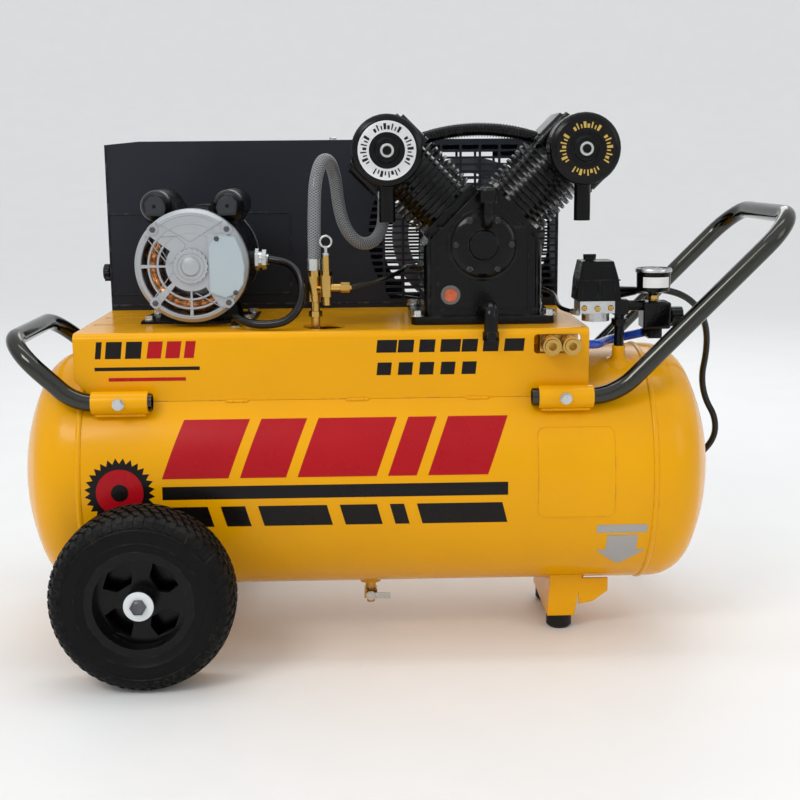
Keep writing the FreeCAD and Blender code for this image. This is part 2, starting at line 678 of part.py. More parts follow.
def vent_slots(radius, y0, y1):
    """Rows of short slots that fill a disc in line with the flywheel, kept off the sheet's folds."""
    slots = []
    rows = int(radius // SLOT_PITCH_Z)
    columns = int(radius // SLOT_PITCH_X)
    for row in range(-rows, rows + 1):
        for column in range(-columns, columns + 1):
            x, z = column * SLOT_PITCH_X, row * SLOT_PITCH_Z
            inner_end = max(0.0, abs(x) - SLOT_LENGTH / 2)
            if hypot(inner_end, abs(z) + SLOT_HEIGHT / 2) > radius - VENT_MARGIN:
                continue
            x0, x1 = PUMP_X + x - SLOT_LENGTH / 2, PUMP_X + x + SLOT_LENGTH / 2
            z0, z1 = PUMP_Z + z - SLOT_HEIGHT / 2, PUMP_Z + z + SLOT_HEIGHT / 2
            if z0 > VENT_BOTTOM and z1 < GUARD_TOP - VENT_MARGIN and x1 < GUARD_RIGHT - VENT_MARGIN:
                slots.append(box(x0, x1, y0, y1, z0, z1))
    disc = rod((PUMP_X, y0, PUMP_Z), (PUMP_X, y1, PUMP_Z), radius)
    return Part.makeCompound(slots).common(disc).Solids


def guard_outline(inset):
    left, right = GUARD_LEFT + inset, GUARD_RIGHT - inset
    top, bottom = GUARD_TOP - inset, GUARD_BOTTOM + inset
    return [(left, bottom), (right, bottom), (right, top), (left + 54, top), (left, top - 5)]


def guard_front_panel():
    y0, y1 = GUARD_FRONT, GUARD_FRONT + GUARD_SHEET
    panel = plate_y(guard_outline(0), y0, y1)
    clear = [s for s in vent_slots(VENT_FRONT_RADIUS, y0 - 1, y1 + 1)
             if hypot(s.CenterOfMass.x - PUMP_X, s.CenterOfMass.z - PUMP_Z) > 40]
    clear.append(rod((PUMP_X, y0 - 1, PUMP_Z), (PUMP_X, y1 + 1, PUMP_Z), 24))
    clear.append(rod((MOTOR_X, y0 - 1, MOTOR_Z), (MOTOR_X, y1 + 1, MOTOR_Z), 16))
    for x in guard_bolt_places():
        clear.append(rod((x, y0 - 1, GUARD_BOLT_Z), (x, y1 + 1, GUARD_BOLT_Z),
                         GUARD_BOLT + HOLE_FIT))
    return panel.cut(Part.makeCompound(clear))


def guard_back_cover():
    y0 = GUARD_FRONT + GUARD_SHEET
    y1 = y0 + GUARD_DEPTH
    cover = plate_y(guard_outline(0), y0, y1)
    cover = cover.cut(plate_y(guard_outline(GUARD_SHEET), y0 - 1, y1 - GUARD_SHEET))
    slots = vent_slots(VENT_BACK_RADIUS, y1 - GUARD_SHEET - 1, y1 + 1)
    return cover.cut(Part.makeCompound(slots))


# ---- Motor ------------------------------------------------------------------------------------------


def motor_shell():
    """A rolled shell welded into a folded foot."""
    y0, y1 = MOTOR_FRONT + BELL_LENGTH, MOTOR_REAR - BELL_LENGTH
    shell = sleeve((MOTOR_X, y0, MOTOR_Z), (MOTOR_X, y1, MOTOR_Z), MOTOR_RADIUS,
                   MOTOR_RADIUS - MOTOR_WALL)
    foot = box(MOTOR_X - 84, MOTOR_X + 84, -22, 96, SADDLE_TOP, SADDLE_TOP + 4)
    cradle = []
    for y in (6.0, 62.0):
        outline = [(MOTOR_X - 60, SADDLE_TOP + 4), (MOTOR_X + 60, SADDLE_TOP + 4),
                   (MOTOR_X + 50, SADDLE_TOP + 44), (MOTOR_X - 50, SADDLE_TOP + 44)]
        cradle.append(plate_y(outline, y, y + 5))
    bar = rod((MOTOR_X, y0, MOTOR_Z), (MOTOR_X, y1, MOTOR_Z), MOTOR_RADIUS)
    inside = rod((MOTOR_X, y0, MOTOR_Z), (MOTOR_X, y1, MOTOR_Z), MOTOR_RADIUS - MOTOR_WALL)
    gland_boss = rod((MOTOR_X, -28, MOTOR_Z + 5), (MOTOR_X + 88, -28, MOTOR_Z + 5), 13).cut(bar)
    body = fuse([shell, fuse([foot] + cradle).cut(inside), gland_boss])
    drills = [rod((x, y, SADDLE_TOP - 1), (x, y, SADDLE_TOP + 6), MOTOR_BOLT + HOLE_FIT)
              for x, y in motor_bolt_places()]
    return body.cut(Part.makeCompound(drills))


def arc_slot(r0, r1, a0, a1, y0, y1):
    """A curved slot in a disc, seen along the motor's axis."""
    ring = sleeve((0, y0, 0), (0, y1, 0), r1, r0)
    reach = 2 * r1
    middle = radians((a0 + a1) / 2)
    half = radians((a1 - a0) / 2)
    wedge = [(0, 0), (reach * cos(middle - half), reach * sin(middle - half)),
             (reach * cos(middle), reach * sin(middle)),
             (reach * cos(middle + half), reach * sin(middle + half))]
    return ring.common(plate_y(wedge, y0, y1))


def front_bell():
    """A cast end bell: four screw corners, a boss, and slots in its left and lower quarters."""
    y = MOTOR_FRONT
    profile = [
        (0, 0), (24, 0), (24, 5), (BELL_FRONT_RADIUS, 6), (MOTOR_RADIUS, 11),
        (MOTOR_RADIUS, BELL_LENGTH), (MOTOR_RADIUS - MOTOR_WALL, BELL_LENGTH),
        (MOTOR_RADIUS - MOTOR_WALL - 2, 14), (18, 11), (18, 20), (0, 20),
    ]
    bell = turned(profile, (0, y, 0), (0, 1, 0))
    slots = []
    for r0, r1 in BELL_SLOT_BANDS:
        for a0, a1 in BELL_SLOT_ARCS:
            slots.append(arc_slot(r0, r1, a0, a1, y - 2, y + 18))
    screws = [(BELL_SCREW_REACH * cos(radians(a)), BELL_SCREW_REACH * sin(radians(a)))
              for a in (45, 135, 225, 315)]
    ears = [rod((x, y + 4, z), (x, y + 22, z), 8) for x, z in screws]
    bar = rod((0, y, 0), (0, y + BELL_LENGTH, 0), MOTOR_RADIUS)
    ears = [ear.common(bar) for ear in ears]
    bell = fuse([bell.cut(Part.makeCompound(slots))] + ears)
    plate = plate_y([(25, -40), (25, 45), (52, 45), (68, 25), (73, 0), (70, -22), (60, -40)],
                    y + 2, y + 12)
    bell = fuse([bell, plate])
    bell = bell.cut(rod((0, y + 8, 0), (0, y + 40, 0), MOTOR_SHAFT_RADIUS + RUN_FIT))
    bell.translate(V(MOTOR_X, 0, MOTOR_Z))
    return bell


def rear_bell():
    profile = [
        (MOTOR_SHAFT_RADIUS + RUN_FIT, -20), (18, -20), (18, -11),
        (MOTOR_RADIUS - MOTOR_WALL - 2, -14), (MOTOR_RADIUS - MOTOR_WALL, -BELL_LENGTH),
        (MOTOR_RADIUS, -BELL_LENGTH), (MOTOR_RADIUS, -11), (BELL_FRONT_RADIUS, -6), (24, -5),
        (24, 0), (MOTOR_SHAFT_RADIUS + RUN_FIT, 0),
    ]
    return turned(profile, (MOTOR_X, MOTOR_REAR, MOTOR_Z), (0, 1, 0))


def capacitor_cover(side):
    """A long rounded hood on the shoulder of the motor."""
    x, z = MOTOR_X + side * CAPACITOR_X, MOTOR_Z + CAPACITOR_Z
    y0, y1 = -34.0, 78.0
    hood = rod((x, y0, z), (x, y1, z), CAPACITOR_RADIUS)
    caps = [Part.makeSphere(CAPACITOR_RADIUS, V(x, y, z)) for y in (y0, y1)]
    skirt = box(-CAPACITOR_RADIUS, CAPACITOR_RADIUS, y0, y1, 60, hypot(CAPACITOR_X, CAPACITOR_Z))
    lean = side * degrees(atan2(CAPACITOR_X, CAPACITOR_Z))
    skirt.rotate(V(), Y, lean)
    skirt.translate(V(MOTOR_X, 0, MOTOR_Z))
    motor = rod((MOTOR_X, -200, MOTOR_Z), (MOTOR_X, 200, MOTOR_Z), MOTOR_RADIUS)
    return fuse([hood, skirt] + caps).cut(motor)


def motor_stator():
    inner = MOTOR_RADIUS - MOTOR_WALL
    return sleeve((MOTOR_X, -30, MOTOR_Z), (MOTOR_X, 98, MOTOR_Z), inner, 48)


def motor_rotor():
    """The rotor core on its shaft, with a small fan."""
    core = rod((MOTOR_X, -28, MOTOR_Z), (MOTOR_X, 96, MOTOR_Z), 47)
    shaft = rod((MOTOR_X, MOTOR_FRONT + 10, MOTOR_Z), (MOTOR_X, BELT_Y + 18, MOTOR_Z),
                MOTOR_SHAFT_RADIUS)
    return fuse([core, shaft])


def grooved_wheel(x, z, radius, bore):
    """A rim with one belt groove, centred on the belt."""
    groove = radius - GROOVE_DEPTH
    half_groove = BELT_WIDTH / 2 + BELT_GAP
    profile = [(bore, -14), (radius, -14), (radius, -half_groove), (groove, -half_groove),
               (groove, half_groove), (radius, half_groove), (radius, 14), (bore, 14)]
    return turned(profile, (x, BELT_Y, z), (0, 1, 0))


def flywheel():
    """A spoked flywheel whose spokes stir air over the cylinders."""
    rim = grooved_wheel(PUMP_X, PUMP_Z, FLYWHEEL_RADIUS, FLYWHEEL_RADIUS - 26)
    hub = sleeve((PUMP_X, BELT_Y - 22, PUMP_Z), (PUMP_X, BELT_Y + 22, PUMP_Z), 26, CRANK_RADIUS)
    spokes = []
    for i in range(5):
        spoke = box(20, FLYWHEEL_RADIUS - 22, -7, 7, -9, 9)
        spoke.rotate(V(), X, 28)
        spoke.rotate(V(), Y, 72 * i)
        spoke.translate(V(PUMP_X, BELT_Y, PUMP_Z))
        spokes.append(spoke)
    return fuse([rim, hub] + spokes)


def belt_loop(grow, width):
    """A solid filled loop round both pulleys; grow is added to both groove radii."""
    r1 = FLYWHEEL_RADIUS - GROOVE_DEPTH + grow
    r2 = PULLEY_RADIUS - GROOVE_DEPTH + grow
    span = hypot(MOTOR_X - PUMP_X, MOTOR_Z - PUMP_Z)
    heading = atan2(MOTOR_Z - PUMP_Z, MOTOR_X - PUMP_X)
    lean = acos((r1 - r2) / span)
    y0, y1 = BELT_Y - width / 2, BELT_Y + width / 2
    corners = []
    for x, z, r, sides in ((PUMP_X, PUMP_Z, r1, (1, -1)), (MOTOR_X, MOTOR_Z, r2, (-1, 1))):
        for s in sides:
            corners.append((x + r * cos(heading + s * lean), z + r * sin(heading + s * lean)))
    return fuse([
        rod((PUMP_X, y0, PUMP_Z), (PUMP_X, y1, PUMP_Z), r1),
        rod((MOTOR_X, y0, MOTOR_Z), (MOTOR_X, y1, MOTOR_Z), r2),
        plate_y(corners, y0, y1),
    ])


def drive_belt():
    return belt_loop(BELT_GAP + BELT_THICKNESS, BELT_WIDTH).cut(belt_loop(BELT_GAP, BELT_WIDTH + 2))


# ---- Pump -------------------------------------------------------------------------------------------


def lean_left(shape):
    """Tip a shape built upright about the crank axis into the left cylinder's place."""
    shape.rotate(V(), Y, -V_ANGLE)
    shape.translate(V(PUMP_X, 0, PUMP_Z))
    return shape


def both_sides(left):
    return [left, mirrored(left, X, PUMP_X)]


def crankcase():
    """A house-shaped casting whose two sloping roofs carry the cylinders."""
    w, face = CASE_HALF_WIDTH, CYLINDER_BASE
    eave = sqrt(2) * face - w
    peak = sqrt(2) * face - 7
    floor = -CRANK_HEIGHT
    outline = [(-w, floor), (w, floor), (w, eave), (7, peak), (-7, peak), (-w, eave)]
    body = plate_y([(PUMP_X + x, PUMP_Z + z) for x, z in outline], PUMP_FRONT, PUMP_REAR)
    upright = [e for e in body.Edges if abs(e.tangentAt(0).z) > 0.9]
    body = body.makeFillet(12, upright)
    foot = box(PUMP_X - FOOT_HALF_WIDTH, PUMP_X + FOOT_HALF_WIDTH, PUMP_FRONT - 10, PUMP_REAR + 10,
               SADDLE_TOP, SADDLE_TOP + FOOT_THICKNESS)
    foot = foot.makeFillet(14, [e for e in foot.Edges if abs(e.tangentAt(0).z) > 0.9])
    body = fuse([body, foot])
    y0, y1 = PUMP_FRONT + 9, PUMP_REAR - 9
    cuts = [
        rod((PUMP_X, y0, PUMP_Z), (PUMP_X, y1, PUMP_Z), CASE_BORE),
        box(PUMP_X - 60, PUMP_X + 60, y0, y1, SADDLE_TOP + 14, PUMP_Z - 20),
        rod((PUMP_X, PUMP_FRONT - 1, PUMP_Z), (PUMP_X, PUMP_REAR + 1, PUMP_Z), 34),
    ]
    for x, y in pump_bolt_places():
        cuts.append(rod((x, y, SADDLE_TOP - 1), (x, y, SADDLE_TOP + FOOT_THICKNESS + 1),
                        PUMP_BOLT + HOLE_FIT))
    skirt_hole = lean_left(rod((0, CYLINDER_Y, 20), (0, CYLINDER_Y, CYLINDER_BASE + 5), CYLINDER_BORE))
    cuts += both_sides(skirt_hole)
    return body.cut(Part.makeCompound(cuts))


def bearing_covers():
    """Round covers on both ends of the crankcase, with a bearing for the crankshaft."""
    front_profile = [(0, 0), (46, 0), (46, -5), (40, -8), (22, -8), (20, -14), (0, -14)]
    front = turned(front_profile, (PUMP_X, PUMP_FRONT, PUMP_Z), (0, 1, 0))
    spigot = rod((PUMP_X, PUMP_FRONT, PUMP_Z), (PUMP_X, PUMP_FRONT + 20, PUMP_Z), 34)
    front = fuse([front, spigot])
    front = front.cut(rod((PUMP_X, PUMP_FRONT - 4, PUMP_Z), (PUMP_X, 0, PUMP_Z),
                          CRANK_RADIUS + RUN_FIT))
    rear = turned([(0, 0), (46, 0), (46, 8), (24, 8), (22, 20), (0, 20)],
                  (PUMP_X, PUMP_REAR, PUMP_Z), (0, 1, 0))
    rear = fuse([rear, rod((PUMP_X, PUMP_REAR - 20, PUMP_Z), (PUMP_X, PUMP_REAR, PUMP_Z), 34)])
    rear = rear.cut(rod((PUMP_X, 0, PUMP_Z), (PUMP_X, PUMP_REAR + 30, PUMP_Z),
                        CRANK_RADIUS + RUN_FIT))
    bolts = []
    for i in range(6):
        a = radians(60 * i)
        at = (PUMP_X + 40 * cos(a), PUMP_FRONT - 5, PUMP_Z + 40 * sin(a))
        bolts.append(hexagon(at, (0, -1, 0), 8, 5))
    return [fuse([front] + bolts), rear]


def crankshaft():
    """Main shaft with one throw between two counterweighted webs."""
    front, rear = PUMP_FRONT - 2, BELT_Y + 26
    web_rear = (CYLINDER_Y + 24, CYLINDER_Y + 36)
    web_front = (CYLINDER_Y - 36, CYLINDER_Y - 24)
    pieces = [
        rod((0, front, 0), (0, web_front[1], 0), CRANK_RADIUS),
        rod((0, web_rear[0], 0), (0, rear, 0), CRANK_RADIUS),
        rod((0, web_front[0], CRANK_THROW), (0, web_rear[1], CRANK_THROW), 11),
    ]
    for y0, y1 in (web_front, web_rear):
        weight = rod((0, y0, 0), (0, y1, 0), 44).common(box(-50, 50, y0, y1, -50, 0))
        neck = box(-14, 14, y0, y1, -2, CRANK_THROW + 12)
        pieces += [weight, neck]
    shaft = fuse(pieces)
    shaft.translate(V(PUMP_X, 0, PUMP_Z))
    return shaft


def cylinder():
    """A finned iron barrel on a square flange, built upright."""
    flange = box(-50, 50, CYLINDER_Y - 50, CYLINDER_Y + 50, CYLINDER_BASE, CYLINDER_BASE + 12)
    barrel = rod((0, CYLINDER_Y, CYLINDER_BASE + 6), (0, CYLINDER_Y, CYLINDER_TOP), 41)
    fins = []
    count = 9
    pitch = (CYLINDER_TOP - CYLINDER_BASE - 20) / count
    for i in range(count):
        z = CYLINDER_BASE + 18 + i * pitch
        fins.append(rod((0, CYLINDER_Y, z), (0, CYLINDER_Y, z + 3.4), FIN_RADIUS))
    whole = fuse([flange, barrel] + fins)
    bore = rod((0, CYLINDER_Y, CYLINDER_BASE - 1), (0, CYLINDER_Y, CYLINDER_TOP + 1), CYLINDER_BORE)
    return lean_left(whole.cut(bore))


def cylinder_head():
    """Valve plate and finned head, built upright."""
    y0, y1 = CYLINDER_Y - HEAD_HALF_DEPTH, CYLINDER_Y + HEAD_HALF_DEPTH
    base = CYLINDER_TOP
    block = box(-HEAD_OUTER, HEAD_INNER, y0, y1, base, HEAD_TOP)
    block = block.makeFillet(10, [e for e in block.Edges if abs(e.tangentAt(0).z) > 0.9])
    slots = []
    count = 8
    pitch = (HEAD_OUTER + HEAD_INNER) / count
    for i in range(1, count):
        x = -HEAD_OUTER + i * pitch
        slots.append(box(x - 3.5, x + 3.5, y0 + 22, y1 + 1, base + 22, HEAD_TOP + 1))
    slots.append(box(-HEAD_OUTER - 1, -HEAD_OUTER + 3, y0 - 1, y1 + 1, base + 6, base + 9))
    slots.append(box(HEAD_INNER - 3, HEAD_INNER + 1, y0 - 1, y1 + 1, base + 6, base + 9))
    head = block.cut(Part.makeCompound(slots))
    bolts = []
    for x in (-HEAD_OUTER + 13, HEAD_INNER - 13):
        for y in (y0 + 10, y1 - 12):
            bolts.append(hexagon((x, y, HEAD_TOP), (0, 0, 1), 13, 7))
    return lean_left(fuse([head] + bolts))


def piston():
    """A piston with three ring grooves at the middle of its stroke, built upright."""
    top = CYLINDER_TOP - 4 - CRANK_THROW
    radius = CYLINDER_BORE - RUN_FIT
    body = rod((0, CYLINDER_Y, top - 44), (0, CYLINDER_Y, top), radius)
    grooves = [sleeve((0, CYLINDER_Y, top - z - 2), (0, CYLINDER_Y, top - z), radius + 1, radius - 2.5)
               for z in (5, 10, 15)]
    hollow = rod((0, CYLINDER_Y, top - 46), (0, CYLINDER_Y, top - 18), radius - 6)
    pin = rod((-radius + 3, CYLINDER_Y, top - 30), (radius - 3, CYLINDER_Y, top - 30), 7)
    return lean_left(fuse([body.cut(Part.makeCompound(grooves + [hollow])), pin]))


def crossover_pipe():
    """The bowed pipe that joins the two heads."""
    along = CYLINDER_TOP + CROSSOVER_RADIUS
    lean = radians(V_ANGLE)
    x = along * sin(lean) - (HEAD_INNER - CROSSOVER_SINK) * cos(lean)
    z = along * cos(lean) + (HEAD_INNER - CROSSOVER_SINK) * sin(lean)
    bow = Part.Arc(V(-x, 0, z), V(0, 0, z + CROSSOVER_RISE), V(x, 0, z)).toShape()
    start = bow.valueAt(bow.FirstParameter)
    heading = bow.tangentAt(bow.FirstParameter)
    ring = Part.Wire(Part.makeCircle(CROSSOVER_RADIUS, start, heading))
    pipe = Part.Wire(bow).makePipeShell([ring], True, False)
    pipe.translate(V(PUMP_X, CYLINDER_Y, PUMP_Z))
    return pipe.cut(Part.makeCompound(both_sides(cylinder_head())))


def filter_housing():
    """A round intake filter with a short snorkel and the neck that holds it to the head."""
    x = PUMP_X - FILTER_OFFSET_X
    profile = [(0, FILTER_FRONT), (FILTER_RADIUS - 2, FILTER_FRONT), (FILTER_RADIUS, FILTER_FRONT + 3),
               (FILTER_RADIUS, FILTER_BACK - 6), (FILTER_RADIUS - 6, FILTER_BACK), (0, FILTER_BACK)]
    drum = turned(profile, (x, 0, FILTER_Z), (0, 1, 0))
    middle = (FILTER_FRONT + FILTER_BACK) / 2
    snorkel = rod((x, middle, SNORKEL_END_Z), (x, middle, FILTER_Z), SNORKEL_RADIUS)
    mouth = rod((x, middle, SNORKEL_END_Z - 1), (x, middle, FILTER_Z - FILTER_RADIUS), 8.5)
    neck = rod((x, FILTER_BACK, FILTER_Z), (x, CYLINDER_Y - HEAD_HALF_DEPTH, FILTER_Z), 14)
    return fuse([drum, snorkel, neck]).cut(mouth)


def filter_cap():
    """A domed cap held by one screw."""
    x = PUMP_X - FILTER_OFFSET_X
    profile = [(0, 0), (FILTER_RADIUS - 2, 0), (FILTER_RADIUS - 2, -3), (FILTER_RADIUS - 8, -6.5),
               (18, -8), (16, -10.5), (6, -11), (6, -14), (0, -14)]
    return turned(profile, (x, FILTER_FRONT, FILTER_Z), (0, 1, 0))


def sight_glass():
    profile = [(0, 0), (14, 0), (14, -5), (11, -7), (9, -7), (9, -5), (0, -5)]
    return turned(profile, (SIGHT_X, PUMP_FRONT, SIGHT_Z), (0, 1, 0))


def oil_fittings():
    """The breather tube with its cap, and the drain elbow that reaches past the saddle's edge."""
    x = PUMP_X + 4
    front = PUMP_FRONT - 8
    tube = swept([(x, front, PUMP_Z + 30), (x, front - 20, PUMP_Z + 30), (x, front - 20, PUMP_Z + 62)],
                 7.5, [12.0])
    cap = turned([(0, 0), (13, 0), (14.5, 3), (14.5, 18), (11, 22), (0, 23)],
                 (x, front - 20, PUMP_Z + 60), (0, 0, 1))
    drop_y = -SADDLE_HALF_WIDTH - 13
    z = SADDLE_TOP + 31
    drain = swept([(x, PUMP_FRONT, z), (x, drop_y, z), (x, drop_y, SADDLE_TOP - 4)], 10.0, [15.0])
    plug = hexagon((x, drop_y, SADDLE_TOP - 14), (0, 0, 1), 20, 12)
    return [fuse([tube, cap]), fuse([drain, plug])]


# ---- Valves, gauge and switch --------------------------------------------------------------------


def check_valve():
    """A brass check valve screwed into the tank, with a side arm for the safety valve."""
    at = lambda z: (VALVE_X, VALVE_Y, z)
    arm = rod(at(518), (SAFETY_X, SAFETY_Y, 518), 5.5)
    arm = arm.cut(rod((SAFETY_X, SAFETY_Y, 495), (SAFETY_X, SAFETY_Y, 560), SAFETY_RADIUS))
    pieces = [
        rod(at(VALVE_BOSS_TOP), at(500), 6.5),
        hexagon(at(VALVE_BOSS_TOP), Z, 22, 12),
        hexagon(at(478), Z, 17, 8),
        rod(at(500), at(536), 10.5),
        hexagon(at(532), Z, 17, 12.4),
        arm,
    ]
    return fuse(pieces)


def safety_valve():
    """A pop-off valve with a side outlet for the unloader line."""
    at = lambda z: (SAFETY_X, SAFETY_Y, z)
    pieces = [
        rod(at(496), at(508), 5.5),
        rod(at(508), at(538), SAFETY_RADIUS),
        hexagon(at(538), Z, 14, 7),
        rod(at(545), at(566), 5.2),
        rod((SAFETY_X + 4, SAFETY_Y, 521), (SAFETY_X + 20, SAFETY_Y, 521), 5.5),
        hexagon((SAFETY_X + 20, SAFETY_Y, 521), X, 13, 13),
        stub(UNLOADER_ROUTE, 8, UNLOADER_DIAMETER / 2),
    ]
    bore = rod(at(550), at(570), 2.5 + 0.1)
    return fuse(pieces).cut(bore)


def safety_ring():
    """The pull ring and its stem."""
    at = lambda z: (SAFETY_X, SAFETY_Y, z)
    stem = rod(at(555), at(580), 2.5)
    collar = rod(at(566 + SLIDE_FIT), at(570), 5)
    ring = Part.makeTorus(8, 1.6, V(*at(586)), Y)
    return fuse([stem, collar, ring])


def switch_base():
    """The pressure switch's plated frame, with the diaphragm below it."""
    x0, x1, y0, y1 = SWITCH
    frame = box(x0 + 4, x1 - 8, y0 + 4, y1 - 4, SWITCH_SPLIT - 18, SWITCH_SPLIT)
    diaphragm = rod(((x0 + x1) / 2, (y0 + y1) / 2, SADDLE_TOP + 4),
                    ((x0 + x1) / 2, (y0 + y1) / 2, SWITCH_SPLIT - 18), 20)
    post = rod((KNOB_X, (y0 + y1) / 2, SWITCH_SPLIT), (KNOB_X, (y0 + y1) / 2, SWITCH_TOP - 8), 3)
    return fuse([frame, diaphragm, post, stub(UNLOADER_ROUTE, 14, 4.5, at_end=True)])


def switch_cover():
    """A tapered moulded hood."""
    x0, x1, y0, y1 = SWITCH
    z0, z1 = SWITCH_SPLIT, SWITCH_TOP
    lower = box_wire(x0, x1, y0, y1, z0)
    shoulder = box_wire(x0 + 2, x1 - 3, y0 + 3, y1 - 2, z0 + 30)
    upper = box_wire(x0 + 7, x1 - 10, y0 + 8, y1 - 6, z1)
    hood = fuse([Part.makeLoft([lower, shoulder], True), Part.makeLoft([shoulder, upper], True)])
    inside = Part.makeLoft([box_wire(x0 + 3, x1 - 3, y0 + 3, y1 - 3, z0 - 1),
                            box_wire(x0 + 10, x1 - 13, y0 + 11, y1 - 9, z1 - 3)], True)
    hole = rod((KNOB_X, (y0 + y1) / 2, z1 - 10), (KNOB_X, (y0 + y1) / 2, z1 + 5), 6 + SLIDE_FIT)
    relief = strain_relief().cut(hood)
    return [hood.cut(inside).cut(hole), relief]


def box_wire(x0, x1, y0, y1, z):
    """A rectangle at one height."""
    corners = [V(x0, y0, z), V(x1, y0, z), V(x1, y1, z), V(x0, y1, z)]
    return Part.makePolygon(corners + corners[:1])


def switch_knob():
    """The on-off knob on top of the switch, turned by hand."""
    y = (SWITCH[2] + SWITCH[3]) / 2
    stem = rod((KNOB_X, y, SWITCH_TOP - 8 + SLIDE_FIT), (KNOB_X, y, SWITCH_TOP + 1), 6)
    head = rod((KNOB_X, y, SWITCH_TOP + 1), (KNOB_X, y, SWITCH_TOP + 5), 9)
    grip = box(KNOB_X - 9, KNOB_X + 9, y - 2, y + 2, SWITCH_TOP + 4, SWITCH_TOP + 9)
    return fuse([stem, head, grip])


def manifold():
    """The riser from the tank, the cross pipe and the regulator's body."""
    x0, x1, y0, y1, z0, z1 = REGULATOR
    body = box(x0, x1, y0, y1, z0, z1)
    body = body.makeFillet(4, body.Edges)
    riser = rod((RISER_X, RISER_Y, RISER_BOSS_TOP), (RISER_X, RISER_Y, PIPE_Z + 12), 7.2)
    nut = hexagon((RISER_X, RISER_Y, PIPE_Z - 22), Z, 20, 10)
    pipe = rod((SWITCH[1] - 8, RISER_Y, PIPE_Z + 6), (x0 + 5, RISER_Y, PIPE_Z + 6), 7.5)
    block = box(RISER_X - 11, RISER_X + 11, RISER_Y - 11, RISER_Y + 11, PIPE_Z - 6, PIPE_Z + 15)
    knob_stem = rod((x1 - 2, GAUGE_Y, REG_KNOB_Z), (x1 + 3, GAUGE_Y, REG_KNOB_Z), 9)
    neck = rod((GAUGE_X, GAUGE_Y, z1 - 2), (GAUGE_X, GAUGE_Y, GAUGE_BOTTOM), 6)
    nut2 = hexagon((GAUGE_X, GAUGE_Y, z1 + 2), Z, 14, 6)
    foot = box(360, 380, -76, -52, 440, z0 + 2)
    spigot = stub(BLUE_ROUTE, 10, 4.5, at_end=True)
    return fuse([body, riser, nut, pipe, block, knob_stem, neck, nut2, foot, spigot])


def regulator_knob():
    """A fluted knob that sets the outlet pressure."""
    x0 = REGULATOR[1] + 3 + SLIDE_FIT
    knob = rod((x0, GAUGE_Y, REG_KNOB_Z), (x0 + 16, GAUGE_Y, REG_KNOB_Z), 14.5)
    flutes = []
    for i in range(12):
        a = radians(30 * i)
        y, z = GAUGE_Y + 15.5 * cos(a), REG_KNOB_Z + 15.5 * sin(a)
        flutes.append(rod((x0 + 3, y, z), (x0 + 17, y, z), 2.2))
    return knob.cut(Part.makeCompound(flutes))


def gauge_case():
    """A two inch gauge that faces up: a cup with a rolled bezel, and its dial plate."""
    r = GAUGE_RADIUS
    height = GAUGE_TOP - GAUGE_BOTTOM
    profile = [(0, 0), (12, 0), (r - 3, 3), (r - 2, 8), (r - 1.5, height - 7), (r, height - 6),
               (r, height - 1.5), (r - 1.5, height), (r - 4, height), (r - 4, height - 6),
               (0, height - 6)]
    case = turned(profile, (GAUGE_X, GAUGE_Y, GAUGE_BOTTOM), (0, 0, 1))
    pivot = rod((GAUGE_X, GAUGE_Y, GAUGE_TOP - 6), (GAUGE_X, GAUGE_Y, GAUGE_TOP - 5.2), 2)
    return fuse([case, pivot])


def gauge_needle():
    """A pointer with a round hub, resting at zero."""
    z0 = GAUGE_TOP - 5.2 + 0.2
    hub = rod((0, 0, z0), (0, 0, z0 + 1.6), 3)
    points = [V(-7, -1.2, z0 + 0.4), V(17, -0.4, z0 + 0.4), V(17, 0.4, z0 + 0.4), V(-7, 1.2, z0 + 0.4)]
    blade = Part.Face(Part.makePolygon(points + points[:1])).extrude(Z * 0.8)
    needle = fuse([hub, blade])
    needle.rotate(V(), Z, 225)
    needle.translate(V(GAUGE_X, GAUGE_Y, 0))
    return needle


def coupler_block():
    """The outlet block behind the window."""
    back = -SADDLE_HALF_WIDTH + 6
    return box(COUPLER_XS[0] - 13, COUPLER_XS[1] + 13, back, back + 22, COUPLER_Z - 12, COUPLER_Z + 12)


def couplers():
    """Two plug-in outlets on their block."""
    skirt = -SADDLE_HALF_WIDTH
    pieces = [coupler_block()]
    for x in COUPLER_XS:
        pieces.append(rod((x, COUPLER_FACE, COUPLER_Z), (x, skirt + 10, COUPLER_Z), 10))
        pieces.append(hexagon((x, SLEEVE_ENDS[1] + 5, COUPLER_Z), Y, 22, 8))
    cuts = [rod((x, COUPLER_FACE - 1, COUPLER_Z), (x, COUPLER_FACE + 22, COUPLER_Z), 5.6)
            for x in COUPLER_XS]
    return fuse(pieces).cut(Part.makeCompound(cuts))


def coupler_sleeve(x):
    """The knurled collar that releases a plug when it is pushed back."""
    ring = sleeve((x, SLEEVE_ENDS[0], COUPLER_Z), (x, SLEEVE_ENDS[1], COUPLER_Z), 13, 10.1)
    groove = sleeve((x, -147, COUPLER_Z), (x, -143, COUPLER_Z), 14, 12)
    return ring.cut(groove)


